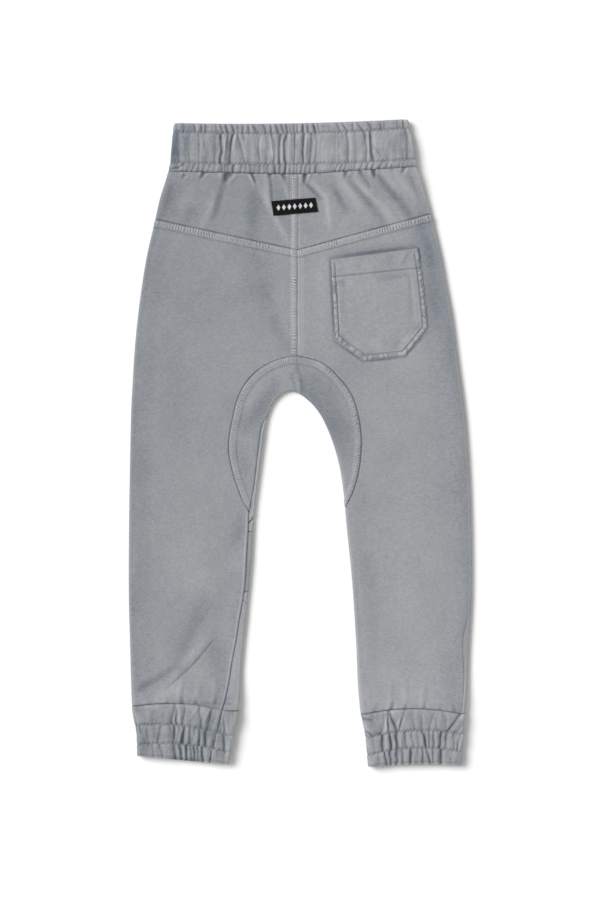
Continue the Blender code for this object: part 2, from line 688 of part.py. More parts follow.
def build_cuff(leg, lines, gathers):
    """A doubled cuff, folded at the hem, with its elastic between two stitch rows."""

    def outline(level):
        outer, inner = cuff_edges(lines, leg, level)
        gap = np.array([0, HALF_GAP if level == 0 else 0])
        left, right = (outer, inner) if leg == "left" else (inner, outer)
        left = Station(left.point + gap, left.inward, left.radius)
        right = Station(right.point + gap, right.inward, right.radius)
        ring = band_outline(lines, level, left, right, gathers)
        return [
            (flat_spot(spot.plan + gap, spot.side) if spot.plan is not None else spot, height)
            for spot, height in ring
        ]

    def right_split(ring):
        """The right cuff's seam is out of sight, next to the inner edge of the underside."""
        start = ring[0][0]
        shift = np.array([HALF_GAP, 0])
        first = flat_spot(on_edge(start.station, start.offset - 1.0).plan, -1)
        opening = (flat_spot(first.plan - shift, -1), 0.0)
        closing = (flat_spot(first.plan + shift, -1), 0.0)
        return [opening, *ring, closing]

    split = split_at(LEFT_CUFF_SEAM_VALLEY) if leg == "left" else right_split
    band("cuff_" + leg, CUFF_LEVELS, outline, split)


# --- Body pieces ----------------------------------------------------------------------------------------


def gusset_ends(leg):
    """The places between the back's tip of the gusset and the knee seam, where its front strip ends."""
    tip = LEFT_TIP if leg == "left" else RIGHT_TIP
    places = []
    for down in np.linspace(tip, KNEE_TOP - HALF_GAP, 4)[1:]:
        inseam = inseam_offset(leg, down)
        places.append((leg_station(leg, down), inseam, inseam))
    return places


def level_to_side(rows, middle, side):
    """Levels the first of some rows between the centre seam and the side."""
    first = level_row(rows[0], middle.plan, (turn_point(side.station), side.station.point[1]))
    return [first, *rows[1:]]


def build_yoke(leg):
    """The back yoke: from the waist seam to the V of the yoke seam, and round the side to the outseam."""
    columns = (1, 20, 7)
    top_edge = WAIST_LINES[leg][-1]
    rows = []
    for share in (0, 0.1, 0.22, 0.36, 0.52, 0.76, 1):
        gap = HALF_GAP * (1 - 2 * share)
        middle = centre_end(leg, waist_seam(CENTRE_SEAM) * (1 - share) + YOKE_POINT * share + gap)
        side = outer_end(leg, 1, top_edge * (1 - share) + YOKE_SIDE[leg] * share + gap)
        rows += level_to_side(panel_rows([middle], [side], 1, columns), middle, side)
    panel("yoke_" + leg, rows, columns, folds_of)


def build_back(leg, lines):
    """The back panel, from the yoke seam past the gusset and down the leg to the cuff."""
    columns = (5 if leg == "right" else 2, 6, 6)
    starts, stops = body_ends(leg, 1, YOKE_POINT + HALF_GAP, YOKE_SIDE[leg] + HALF_GAP, 7)
    downs = sum(leg_downs(leg, lines), [])
    starts += [inner_end(leg, 1, inner) for inner, _ in downs]
    stops += [outer_end(leg, 1, outer) for _, outer in downs]
    rows = level_leg(panel_rows(starts, stops, 1, columns), downs, leg, lines)
    rows = level_to_side(rows, starts[0], stops[0])
    panel("back_" + leg, rows, columns, folds_of)


def build_front(leg):
    """The front thigh panel, under the back: from the waist seam past the gusset to the knee panel."""
    columns = (1, 2, 1)
    top_edge = WAIST_LINES[leg][-1]
    starts, stops = body_ends(leg, -1, waist_seam(CENTRE_SEAM) + HALF_GAP, top_edge + HALF_GAP, 12)
    for place in gusset_ends(leg):
        starts.append(gusset_end(-1, *place))
        stops.append(outer_end(leg, -1, place[0].point[1]))
    rows = level_to_side(panel_rows(starts, stops, -1, columns), starts[0], stops[0])
    panel("front_" + leg, rows, columns)


def leg_panel(name, leg, downs, columns, lines=None, rise=None, kept_rows=None, colour=TERRY_COLOUR):
    """A piece of the front leg, under the back: its rows run across from the inseam to the outseam."""
    starts = [inner_end(leg, -1, inner) for inner, _ in downs]
    stops = [outer_end(leg, -1, outer) for _, outer in downs]
    rows = panel_rows(starts, stops, -1, columns)
    if lines:
        rows = level_leg(rows, downs, leg, lines)
    panel(name, rows, columns, rise, kept_rows, colour)


def build_knee(leg):
    """The ribbed knee panel: its ribs stand up wherever it has rolled out from under the leg."""
    top, bottom = KNEE_TOP + HALF_GAP, KNEE_BOTTOM - HALF_GAP
    pitch = (bottom - top) / RIB_COUNT
    count = 4 * RIB_COUNT + 1 if leg == "left" else 6

    def ribs(spot):
        if spot.side < 0:
            return 0.0
        down = spot.station.point[1] if spot.station is not None else spot.plan[1]
        return RIB_HEIGHT * (0.5 - 0.5 * math.cos(2 * math.pi * (down - top) / pitch))

    downs = [(down, down) for down in np.linspace(top, bottom, count)]
    kept = every(count, 8) if leg == "left" else None
    columns = (6, 0, 1) if leg == "left" else (4, 0, 1)
    leg_panel("knee_" + leg, leg, downs, columns, rise=ribs, kept_rows=kept, colour=RIB_COLOUR)


def build_shin(leg, lines):
    """The front shin panel, from the knee panel to the cuff."""
    top = KNEE_BOTTOM + HALF_GAP
    columns = (6, 7, 1) if leg == "left" else (4, 7, 6)
    leg_panel("shin_" + leg, leg, [(top, top), *leg_downs(leg, lines)[2]], columns, lines)


GUSSET_SHARES = (0, 0.09, 0.18, 0.3, 0.6, 1)


def build_gusset(side):
    """Half of the gusset: from the inseam round the crotch's edge to its seam on the back or the front."""
    places = LEFT_ROUND + RIGHT_ROUND[1:]
    if side < 0:
        places = gusset_ends("left")[::-1] + places + gusset_ends("right")
    rows = []
    for station, inseam, back in places:
        reach = back if side > 0 else front_offset(station, inseam, back)
        start, stop = inseam + side * HALF_GAP, reach - side * HALF_GAP
        rows.append([on_edge(station, start + (stop - start) * share) for share in GUSSET_SHARES])
    outer = [[position(spot, 0) for spot in row] for row in rows]
    inner = [[position(spot, WALL) for spot in row] for row in rows]
    name = "gusset_back" if side > 0 else "gusset_front"
    shell(name, outer, inner, range(len(rows)), (0, 2, 3, 5))


def laid_on(name, corners, columns, wall, lift, colour=TERRY_COLOUR, roughness=0.9):
    """A flat piece sewn onto the back: its lower face is the panel's upper face, moved out."""
    lower, upper = [], []
    for row in range(len(corners["left"])):
        left = np.array([corners["left"][row], corners["left_down"][row]])
        right = np.array([corners["right"][row], corners["right_down"][row]])
        plans = [left + (right - left) * share for share in np.linspace(0, 1, columns)]
        lower.append([position(flat_spot(plan, 1), 0, SEAM_GAP + lift) for plan in plans])
        upper.append([position(flat_spot(plan, 1), 0, SEAM_GAP + lift + wall) for plan in plans])
    shell(name, upper, lower, range(len(upper)), range(columns), colour, roughness)


def build():
    for startup in list(bpy.data.objects):
        bpy.data.objects.remove(startup)
    build_waistband()
    for leg, lines, gathers in (
        ("left", LEFT_CUFF_LINES, LEFT_CUFF_GATHERS),
        ("right", RIGHT_CUFF_LINES, RIGHT_CUFF_GATHERS),
    ):
        build_yoke(leg)
        build_back(leg, lines)
        build_front(leg)
        build_knee(leg)
        build_shin(leg, lines)
        build_cuff(leg, lines, gathers)
    for side in (1, -1):
        build_gusset(side)
    laid_on("pocket", POCKET, 6, POCKET_WALL, 0)
    laid_on("label", LABEL, 5, LABEL_WALL, 0.1, LABEL_COLOUR, 0.7)


build()
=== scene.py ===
import math
from collections import namedtuple

import bmesh
import bpy
import numpy as np
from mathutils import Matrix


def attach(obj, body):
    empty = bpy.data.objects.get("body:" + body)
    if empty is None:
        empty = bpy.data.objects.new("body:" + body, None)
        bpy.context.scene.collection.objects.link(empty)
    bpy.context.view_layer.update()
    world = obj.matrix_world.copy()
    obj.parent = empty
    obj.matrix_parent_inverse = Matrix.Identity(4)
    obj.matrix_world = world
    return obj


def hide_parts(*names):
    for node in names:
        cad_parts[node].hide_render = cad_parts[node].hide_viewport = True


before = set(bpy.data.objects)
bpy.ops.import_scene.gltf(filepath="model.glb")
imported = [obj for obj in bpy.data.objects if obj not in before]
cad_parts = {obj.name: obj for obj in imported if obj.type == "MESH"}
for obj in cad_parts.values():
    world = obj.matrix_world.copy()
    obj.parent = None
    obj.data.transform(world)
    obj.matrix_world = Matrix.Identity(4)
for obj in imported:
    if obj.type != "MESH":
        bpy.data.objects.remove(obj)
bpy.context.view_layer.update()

# --- Back panels ----------------------------------------------------------------------------------------
# Their colour also holds painted shade in hollows and seams, and painted light on ridges and turned edges.
# The two back panels are garment-dyed French terry, washed until the seams and ridges are rubbed pale.
# Each runs from the yoke seam past the crotch gusset to its cuff, and rolls round the side to the outseam.
# Places are in millimetres as on a cutting table: "down" from the waist edge and "across" from the middle,
# positive towards the wearer's right. An offset runs along the cloth from a folded edge, positive on top.

LENGTH = 646.5  # waist edge to the lowest hem
WALL = 1.8  # thickness of the terry
GRAIN = 1.25  # spacing of the rows of fine points down a panel
FLAT = 99.0  # the offset of cloth that lies flat, out of reach of any folded edge
HALF_GAP = 0.04  # half the gap between two pieces at a seam
CENTRE_SEAM = -2.3
BULGE_REACH = 22.0  # a folded edge flattens out over this width
CROTCH_SEAM = 236.0  # where the centre seam meets the gusset
OUTER_AT_CROTCH = 214.0
KNEE_BOTTOM = 471.8  # the seam between the knee panel and the shin
BOW_TOP = 520.0  # from here on the rows of a leg bow towards its cuff
YOKE_POINT = 130.0
YOKE_SIDE = {"left": 100.0, "right": 94.5}


def table(names, *rows):
    """Short tables with named columns."""
    return dict(zip(names.split(), np.array(rows, float).T))


EDGE = table(
    "down left right",
    (0, -124, 107.8), (8, -126.4, 109.8), (30, -129, 115), (48, -130.8, 117.6), (58, -133.5, 121),
    (75, -139, 126), (105, -146, 134), (135, -153, 141), (165, -158, 146.5), (195, -162, 152),
    (225, -165, 156), (255, -167, 160), (295, -169, 165), (340, -170, 168.5), (400, -171, 171),
    (490, -171, 171), (525, -170, 169), (560, -169, 167.5), (586, -167.7, 166), (606, -164.7, 163.8),
    (624, -163.1, 162.6), (648, -162.8, 161.3),
)
ARCH = table(
    "across down",
    (-71.5, 645), (-69.2, 630), (-66.6, 615), (-63.2, 600), (-60.8, 588), (-59, 552), (-53.2, 490),
    (-48.4, 435), (-46, 397), (-41, 355), (-37, 325), (-32, 296), (-25, 281), (-17, 273.6), (-9, 271),
    (-2, 273), (8, 280), (20, 294), (28, 310), (38, 340), (43.5, 372), (46.2, 402), (52, 460), (56, 520),
    (59.2, 580), (60.8, 594), (63.4, 604), (65.7, 617), (67.2, 634), (68.2, 648),
)
GUSSET_LEFT = table(
    "across down",
    (-50.5, 391), (-55.5, 384), (-62.4, 367.5), (-68.5, 347), (-71.2, 331), (-71, 320), (-67.4, 298.8),
    (-61, 275), (-54.8, 263.6), (-47.1, 254.4), (-37.2, 246.8), (-23.4, 240), (-10, 236.3), (-2.3, 236),
)
GUSSET_RIGHT = table(
    "across down",
    (-2.3, 236), (8, 238), (20, 241.8), (30, 248.3), (39, 257.5), (46.8, 266.7), (53, 277), (59, 297),
    (61.7, 319.5), (61.3, 333), (58.8, 352.5), (52.8, 372.8), (48.6, 382), (45.3, 388),
)
HEIGHT = table(
    "down edge middle",
    (0, 10, 10), (56, 10, 10), (66, 8.8, 8.4), (80, 7.3, 6.3), (96, 6.4, 5), (114, 6, 4.4), (530, 6, 4.4),
    (550, 6.3, 4.8), (568, 7.9, 7), (582, 10, 10), (648, 10, 10),
)
LEFT_INSEAM = table(
    "down offset",
    (262, -3), (271, -3), (284, -2), (294, 0.5), (305, 4.6), (325, 5.5), (367, 5.2), (391, 6.8), (412, 6.2),
    (431, 6.3), (470, 5.6), (500, 7.9), (522, 9), (540, 10.8), (560, 13), (588, 19), (648, 24),
)
RIGHT_OUTSEAM = table("down offset", (0, -6), (474, -6), (487, -1), (500, 4.6), (560, 5.6), (595, 6.6))
CUFF_SEAMS = {  # inner, centre and outer depth of each leg's lower edge
    "left": (590.4, 583.4, 585.6),
    "right": (593.5, 588.3, 593.4),
}

BAND_WIDTH = 6.5  # how wide a coverstitched seam allowance is, from its seam to past its outer needle row
PUCKER = 2.75  # one stitch of a coverstitch

Station = namedtuple("Station", "point inward radius")
Seam = namedtuple("Seam", "station offset plan")


def smooth(knots, values, at):
    """A curve through a table's rows, with each slope taken from the rows beside it."""
    slopes = np.gradient(values, knots)
    at = np.clip(np.asarray(at, float), knots[0], knots[-1])
    row = np.clip(np.searchsorted(knots, at) - 1, 0, len(knots) - 2)
    span = knots[row + 1] - knots[row]
    t = (at - knots[row]) / span
    start = (1 + 2 * t) * (1 - t) ** 2 * values[row] + t * (1 - t) ** 2 * span * slopes[row]
    end = t * t * (3 - 2 * t) * values[row + 1] - t * t * (1 - t) * span * slopes[row + 1]
    return start + end


def ease(t):
    """0 up to t = 0, 1 from t = 1, and smooth between."""
    t = np.clip(t, 0, 1)
    return t * t * (3 - 2 * t)


def near(far, soft, reach=0):
    """1 up to a reach, and 0 past a soft margin beyond it."""
    return 1 - ease((far - reach) / soft)


def hill(aside, width):
    """A smooth hill, 1 at its crest and almost level two widths away."""
    return np.exp(-((aside / width) ** 2))


def line_through(places, count):
    """Evenly spaced points on the curve through a table of places."""
    across, down = places["across"], places["down"]
    along = np.concatenate([[0], np.cumsum(np.hypot(np.diff(across), np.diff(down)))])
    at = np.linspace(0, along[-1], count)
    return np.stack([smooth(along, across, at), smooth(along, down, at)], axis=1)


ARCH_LINE = line_through(ARCH, 900)
ARCH_CROWN = int(np.argmin(ARCH_LINE[:, 1]))
ARCH_TANGENT = np.gradient(ARCH_LINE, axis=0)
ARCH_TANGENT /= np.linalg.norm(ARCH_TANGENT, axis=1)[:, None]


def edge_radius(down):
    return np.interp(down, HEIGHT["down"], HEIGHT["edge"]) / 2


def edge_station(across, down, inward):
    return Station(np.array([across, down]), np.array([inward, 0]), edge_radius(down))


def side_station(leg, down):
    """A place on the left or right folded edge of the garment."""
    return edge_station(float(smooth(EDGE["down"], EDGE[leg], down)), down, 1.0 if leg == "left" else -1.0)


def leg_station(leg, down):
    """A place on the inner folded edge of a leg."""
    line = ARCH_LINE[:ARCH_CROWN] if leg == "left" else ARCH_LINE[ARCH_CROWN:]
    order = np.argsort(line[:, 1])
    return edge_station(np.interp(down, line[order, 1], line[order, 0]), down, -1.0 if leg == "left" else 1.0)


def nearest(places, line):
    """How far each place lies from a line of points."""
    flat = places.reshape(-1, 2)
    far = [
        np.sqrt(((part[:, None] - line[None]) ** 2).sum(2).min(1))
        for part in np.array_split(flat, len(flat) // 4000 + 1)
    ]
    return np.concatenate(far).reshape(places.shape[:-1])


def edge_distance(plan):
    """How far places lie inside the nearest folded edge."""
    left = plan[..., 0] - smooth(EDGE["down"], EDGE["left"], plan[..., 1])
    right = smooth(EDGE["down"], EDGE["right"], plan[..., 1]) - plan[..., 0]
    return np.minimum(np.minimum(left, right), nearest(plan, ARCH_LINE[::3]))


def lie(plan, inside):
    """The height of the upper face where it lies smooth, a given way inside the folded edges."""
    middle = np.interp(plan[..., 1], HEIGHT["down"], HEIGHT["middle"])
    radius = edge_radius(plan[..., 1])
    return middle + (2 * radius - middle) * near(inside, BULGE_REACH, radius)


def noise(places, size, seed):
    """Soft random swells between -1 and 1, about as wide as the size given."""
    count = 64
    lattice = np.random.default_rng(seed).uniform(-1, 1, (count, count))
    cell = places / size + count // 2
    corner = np.floor(cell).astype(int)
    t = ease(cell - corner)
    i, j = corner[..., 0] % count, corner[..., 1] % count
    i_next, j_next = (i + 1) % count, (j + 1) % count
    upper = lattice[i, j] * (1 - t[..., 0]) + lattice[i_next, j] * t[..., 0]
    lower = lattice[i, j_next] * (1 - t[..., 0]) + lattice[i_next, j_next] * t[..., 0]
    return upper * (1 - t[..., 1]) + lower * t[..., 1]


def spread(count):
    """Shares from 0 to 1, closer together near both ends."""
    even = np.linspace(0, 1, count)
    return even - 0.45 * np.sin(2 * math.pi * even) / (2 * math.pi)


def cloth_row(start, stop, side, count, bow=0.0):
    """Points along the cloth between two seams, as plan, offset, inward and radius."""
    ends = []
    for seam in (start, stop):
        if seam.station is None:
            ends.append((np.asarray(seam.plan, float), 0.0))
            continue
        quarter = seam.station.radius * math.pi / 2
        rolled = quarter - side * seam.offset
        inset = seam.station.radius + max(0.0, -rolled)
        ends.append((seam.station.point + seam.station.inward * inset, max(0.0, rolled)))
    (first, rolled_first), (last, rolled_last) = ends
    flat = float(np.linalg.norm(last - first))
    at = (rolled_first + flat + rolled_last) * spread(count)
    share = np.clip((at - rolled_first) / flat, 0, 1)
    plan = first + (last - first) * share[:, None]
    plan[:, 1] += bow * 4 * share * (1 - share)
    offset = np.full(count, side * FLAT)
    inward, radius = np.zeros((count, 2)), np.ones(count)
    for seam, chosen, way in (
        (start, at < rolled_first, at),
        (stop, at > rolled_first + flat, at[-1] - at),
    ):
        if seam.station is None or not chosen.any():
            continue
        offset[chosen] = seam.offset + side * way[chosen]
        inward[chosen], radius[chosen] = seam.station.inward, seam.station.radius
        plan[chosen] = rolled_plan(seam.station, offset[chosen])
    return np.column_stack([plan, offset, inward, radius])


def rolled_plan(station, offset):
    """Where the cloth lies in plan, at some offsets from a folded edge."""
    quarter = station.radius * math.pi / 2
    angle = np.clip(offset / station.radius, -math.pi / 2, math.pi / 2)
    inset = station.radius * (1 - np.cos(angle)) + np.maximum(0, np.abs(offset) - quarter)
    return station.point + station.inward * inset[:, None]


def settle(rows):
    """Gives a grid of cloth rows its heights, its outward directions and how free its face is to rise."""
    grid = np.array(rows)
    plan, offset, inward, radius = grid[..., :2], grid[..., 2], grid[..., 3:5], grid[..., 5]
    angle = np.clip(offset / radius, -math.pi / 2, math.pi / 2)
    rolled = np.abs(offset) < radius * math.pi / 2
    inside = edge_distance(plan)
    flat = np.where(offset > 0, lie(plan, inside), 0.0)
    height = np.where(rolled, radius * (1 + np.sin(angle)), flat)
    out = np.concatenate([-inward * np.cos(angle)[..., None], np.sin(angle)[..., None]], axis=2)
    flat_out = np.stack([0 * angle, 0 * angle, np.sign(offset)], axis=2)
    out = np.where(rolled[..., None], out, flat_out)
    free = np.where(rolled, 0.5 * (1 + np.sin(angle)), offset > 0)
    return {"plan": plan, "height": height, "out": out, "free": free, "inside": inside}


def solid_places(cloth, rise):
    """Points in space a rise above the cloth's face, in millimetres."""
    plan, out = cloth["plan"], cloth["out"] * np.asarray(rise)[..., None]
    across = plan[..., 0] + out[..., 0]
    down = plan[..., 1] + out[..., 1]
    return np.stack([across, LENGTH / 2 - down, cloth["height"] + out[..., 2]], axis=-1)


def rim_ways(cloth):
    """How far each point lies from the four rims of a piece, and how far along each rim."""
    places = solid_places(cloth, 0.0 * cloth["height"])
    shape = places.shape[:2]
    from_first = np.cumsum(np.linalg.norm(np.diff(places, axis=0, prepend=places[:1]), axis=2), axis=0)
    from_start = np.cumsum(np.linalg.norm(np.diff(places, axis=1, prepend=places[:, :1]), axis=2), axis=1)
    return {
        "first": (from_first, np.broadcast_to(from_start[0], shape)),
        "last": (from_first[-1] - from_first, np.broadcast_to(from_start[-1], shape)),
        "start": (from_start, np.broadcast_to(from_first[:, :1], shape)),
        "stop": (from_start[:, -1:] - from_start, np.broadcast_to(from_first[:, -1:], shape)),
    }


def mark_table(*rows):
    """Straight marks, each with its head, its tail, its depth or height, and its width."""
    return table("across down across_end down_end strength width", *rows)


# Folds of the back. A depth above 0 is a hollow and one below 0 a ridge.
# Short sharp notches fan out from the waist seam, with long soft folds below them.
CREASES = mark_table(
    (-115, 56, -119, 61, 0.8, 1.8), (-96, 54, -101, 63, 1.2, 2.0), (-72.5, 55, -76, 67, 2.1, 3.2),
    (-68, 55, -70, 61, 1.2, 2.4), (-48, 55, -41, 69, 1.2, 1.8), (-49, 57, -44, 70, -0.9, 1.8),
    (-30, 55, -31, 61, 0.9, 2), (-17, 54, -12, 66, 1.2, 2.0), (5.5, 54, 4.3, 67, 1.9, 2.3),
    (-7, 54, -4, 60, 0.8, 2), (20, 53, 22, 60, 0.5, 2), (46, 53, 44.5, 61, 1.1, 2),
    (60, 52, 63, 60, 0.9, 2), (73.5, 52, 76, 62, 1.7, 2), (92, 50, 95, 57, 0.4, 2),
    (104, 49, 100, 57, 1.1, 2), (-117, 583, -118, 574, 0.7, 2.2), (-103, 583, -104, 575, 0.5, 2.2),
    (-84, 583, -83, 574, 0.5, 2.2), (91.7, 589, 95, 577, 0.8, 2.4), (105.6, 588, 108, 579, 0.6, 2.2),
    (125, 588, 124, 578, 0.5, 2.2), (155, 591, 151, 582, 0.5, 2.2), (-150, 585, -146, 577, 0.4, 2.4),
    (-132, 584, -130, 575, 0.4, 2.4), (140, 590, 143, 581, 0.4, 2.2), (75, 591, 80, 580, 0.4, 2.6),
)
# Round the pocket, rows also paint its shadow and shade onto the back along its outline.
SOFT_FOLDS = mark_table(
    (-75, 60, -86, 102, 1.0, 3.2), (-82, 70, -98, 110, -0.6, 3.5), (-44, 66, -47, 124, 0.85, 7),
    (-35, 50, -30, 90, -0.8, 3), (-29.5, 52, -27, 86, 0.9, 1.5), (-15.5, 62, -10, 82, -0.8, 2),
    (-104, 86, -116, 108, 0.4, 6), (-43, 62, -9, 126, -0.9, 3.2), (-50, 112, -36, 180, 0.4, 14),
    (-38, 155, -22, 218, 0.4, 9), (22, 118, 24, 238, -0.35, 8), (-8, 60, -2, 78, 0.4, 4),
    (3, 61, 23, 81, 1.4, 2), (11, 60, 29, 82, -0.9, 3), (27, 72, 31, 114, -0.9, 3.5),
    (31, 64, 50, 96, 1.0, 3.6), (36, 52, 64, 92, -0.9, 4), (45, 55, 74, 88, 0.9, 3.6),
    (66, 78, 88, 108, 0.9, 4.2), (52, 57, 80, 86, -1.1, 3.2), (76, 78, 97, 106, -0.6, 4),
    (60, 51, 72, 70, 0.9, 2), (71, 48, 99, 82, 1.2, 3.4), (92, 72, 115, 101, 1.15, 4.4),
    (80, 50, 102, 74, -0.7, 3), (92, 52, 121, 84, -0.6, 4.5), (108, 52, 126, 84, 1.0, 4.5),
    (118, 92, 134, 150, 0.6, 8), (-88, 506, -84, 560, 0.3, 9), (-104, 66, -120, 90, -0.4, 5),
    (-126, 60, -140, 100, 0.8, 8), (-85, 519, -108, 546, 1.0, 0.9), (-98, 536.5, -134, 570, 0.9, 0.9),
    (-92, 474, -124, 550, 0.62, 8), (-116, 544, -180, 580, 1.1, 4.2), (-80, 520, -78, 588, 0.35, 9),
    (-134, 581, -68, 586, 0.8, 5), (-112, 566, -74, 580, 0.4, 6), (-90, 514, -134, 562, -0.25, 4.5),
    (-108, 562, -150, 580, -0.4, 6), (-52, 380, -70, 440, 0.35, 9), (-60, 470, -66, 540, 0.3, 8),
    (52, 400, 70, 470, 0.3, 9), (-58, 368, -60, 430, 0.4, 6), (96, 105, 60, 112, 0.4, 5),
    (-28, 196, -6, 236, 0.45, 6), (58, 392, 66, 560, -0.35, 10), (150, 530, 152, 588, 0.4, 9),
    (26, 138, 122, 124, 0.6, 5), (30, 138.2, 119.5, 126.4, 1.4, 1.5), (29.9, 137, 34.8, 222, 1.3, 0.9),
    (32.2, 219.6, 66.2, 243.2, 1.4, 1.2), (62, 242.2, 108, 237.2, 1.2, 1.1), (105, 238, 130, 210, 0.8, 1.1),
    (128, 132, 138, 216, 0.5, 8), (60, 250, 100, 330, -0.25, 22), (-132, 220, -112, 360, 0.25, 20),
    (-112, 385, -100, 490, -0.25, 18), (-68, 360, -64, 480, 0.15, 6), (100, 360, 112, 540, -0.15, 20),
    (-124, 512, -112, 574, 0.3, 9), (-74, 520, -74, 588, 0.25, 6),
)
LONG_FOLDS = mark_table(
    (-85, 517, -135, 565.5, 0.65, 8), (-128, 556, -167, 576, 0.8, 12), (-117, 556, -122, 584, 0.7, 5),
    (-100, 560, -103, 582, 0.6, 5), (-84, 556, -86, 584, 0.7, 5), (91, 560, 90, 589, 0.7, 5),
    (104, 556, 107, 588, 0.6, 5), (124, 562, 122, 588, 0.5, 5),
)


def beside_marks(plan, marks):
    """For each straight mark: its strength and width, how far along it places lie, and how far beside."""
    for across, down, across_end, down_end, strength, width in zip(*marks.values()):
        run = np.array([across_end - across, down_end - down])
        way = plan - (across, down)
        along = (way @ run) / (run @ run)
        aside = (run[0] * way[..., 1] - run[1] * way[..., 0]) / np.linalg.norm(run)
        yield strength, width, along, aside


def hollows(plan, marks):
    """Troughs along straight marks, with painted shade in them. Depths below 0 are ridges with painted light.
    """
    rise, rub_and_shade = 0 * plan[..., 0], 0 * plan[..., 0]
    for depth, width, along, aside in beside_marks(plan, marks):
        valley = depth * hill(aside, width) * np.sin(math.pi * np.clip(along, 0, 1)) ** 0.6
        rise -= 0.75 * valley
        # painted shade in each trough, painted light on each ridge
        rub_and_shade -= 0.21 * valley
    return rise, rub_and_shade


def tone(plan, inside):
    """The garment is paler towards its lower right and clouded, and darker at its sides, where the shade of
    its rounded edges is painted.
    """
    across, down = plan[..., 0], plan[..., 1]
    slope = np.clip(0.00025 * across + 0.00008 * (down - 300), -0.06, 0.05)
    # painted shade along the sides, where the rounded edges turn away from the light
    left_side = 0.03 * near(inside, 22) + 0.13 * near(inside, 9) * (1 - 0.6 * ease((down - 100) / 120))
    right_side = 0.18 * near(inside, 40) * (1 - 0.05 * ease((down - 250) / 200)) * ease((down - 55) / 45)
    right_side = right_side * np.where(across < 100, near(down, 60, 300), 1)
    painted_edge_shade = left_side * (across < -100) + right_side * (across > 0)
    shoulder = 0.035 * ease(across / 20) * near(down, 26, 112)
    cuffs = 0.07 * ease((down - 586) / 14)
    clouds = 0.035 * noise(plan, 60, 61) + 0.03 * noise(plan, 22, 63)
    return 0.04 + slope + shoulder - painted_edge_shade - cuffs + clouds


def folds(cloth):
    """How far the cloth stands up in folds, swells and creases, and their colour, with painted light and
    shade on them and on the turned edges.
    """
    plan, out = cloth["plan"], cloth["out"]
    rise = 0.30 * noise(plan, 34, 3) + 0.14 * noise(plan, 13, 5)
    rub_and_shade = 0 * rise
    for height, width, along, aside in beside_marks(plan, LONG_FOLDS):
        crest = near(np.abs(aside), width) * np.sin(math.pi * np.clip(along, 0, 1)) ** 0.7
        rise = np.maximum(rise, rise * (1 - crest) + height * crest)
    for depth, width, along, aside in beside_marks(plan, CREASES):
        fade = near(along, 1) * ease((along + 0.25) / 0.2)
        narrowed = width * (1 - 0.45 * np.clip(along, 0, 1))
        valley = hill(aside, narrowed) * fade
        shoulder = hill(np.abs(aside) - 1.8 * narrowed, narrowed) * fade
        rise += depth * (0.45 * shoulder - valley)
        # painted shade in each crease, painted light on its shoulders
        rub_and_shade += depth * (0.09 * shoulder - 0.30 * valley)
    soft_rise, soft_painted_shading = hollows(plan, SOFT_FOLDS)
    free = ease((cloth["inside"] - edge_radius(plan[..., 1])) / 6)
    # painted light on the turned edges that face away from the light, against their shade
    edge_painted_light = 0.46 * np.clip(2.0 * out[..., 0] + 0.6 * out[..., 1], 0, 1)
    return (rise + soft_rise) * free, (rub_and_shade + soft_painted_shading) * free + tone(plan, cloth["inside"]) + edge_painted_light


def band_relief(along, away):
    """A coverstitched seam allowance beside a seam: a raised strip between its two needle rows.

    Gives its rise, how pale it is rubbed, with painted shade along its foot, and how strongly its stitches
    pucker it.
    """
    body = ease((away - 0.3) / 1.2) * near(away, 1.4, BAND_WIDTH)
    inner_row, outer_row = hill(away - 1.6, 0.7), hill(away - BAND_WIDTH + 0.7, 0.7)
    beside = np.stack([along, away * 0.3], axis=-1)
    uneven = np.clip(0.75 + 0.5 * noise(beside, 15, 31) + 0.7 * noise(beside, 4.5, 33), 0.1, 1.3)
    rise = 0.9 * body - 0.3 * (inner_row + outer_row)
    rub_and_shade = 0.055 * body + (1.5 - uneven) * (0.10 * inner_row + 0.09 * outer_row)
    # painted shade along the foot of the raised strip
    rub_and_shade = rub_and_shade - 0.12 * hill(away - BAND_WIDTH - 1.2, 0.8)
    return rise, rub_and_shade, body * uneven * (1 - 0.5 * ease((away - 3) / 3))


def seam_rims(cloth, ways, sunk):
    """Along a piece's seams its edges dip into the seam, with painted shade there, or painted light where its
    amount is below 0.
    """
    rise, rub_and_shade = 0 * cloth["height"], 0 * cloth["height"]
    for rim, dark in sunk.items():
        away, along = ways[rim]
        uneven = 0.8 + 0.4 * noise(np.stack([along, away * 0], axis=-1), 9, 11)
        rise -= 1.9 * dark * near(away, 1.3)
        # painted shade in the seam, or painted light where the amount is below 0
        rub_and_shade -= dark * uneven * near(away, 1.2)
    return rise, rub_and_shade


# Shade painted on each rim in its seam; an amount below 0 paints light instead.
SUNK = dict.fromkeys(("first", "last", "start", "stop"), 0.26)  # how dark each rim is in its seam
SHADES = table(  # the terry's colours, from painted shade and kept dye to painted light and rubbed-away dye
    "at red green blue",
    (0, 0.080, 0.096, 0.120), (0.25, 0.152, 0.167, 0.188), (0.5, 0.241, 0.248, 0.262),
    (0.75, 0.322, 0.328, 0.338), (1, 0.420, 0.425, 0.432),
)


def plain_material(name, colour, roughness, specular):
    """A plain finish, and its shader."""
    made = bpy.data.materials.new(name)
    made.use_nodes = True
    shader = made.node_tree.nodes["Principled BSDF"]
    shader.inputs["Base Color"].default_value = (*colour, 1)
    shader.inputs["Roughness"].default_value = roughness
    shader.inputs["Specular IOR Level"].default_value = specular
    return made, shader


def raised(made, shader, strength, distance, height):
    """Gives a material fine relief that follows a socket."""
    bump = made.node_tree.nodes.new("ShaderNodeBump")
    bump.inputs["Strength"].default_value = strength
    bump.inputs["Distance"].default_value = distance
    made.node_tree.links.new(height, bump.inputs["Height"])
    made.node_tree.links.new(bump.outputs["Normal"], shader.inputs["Normal"])


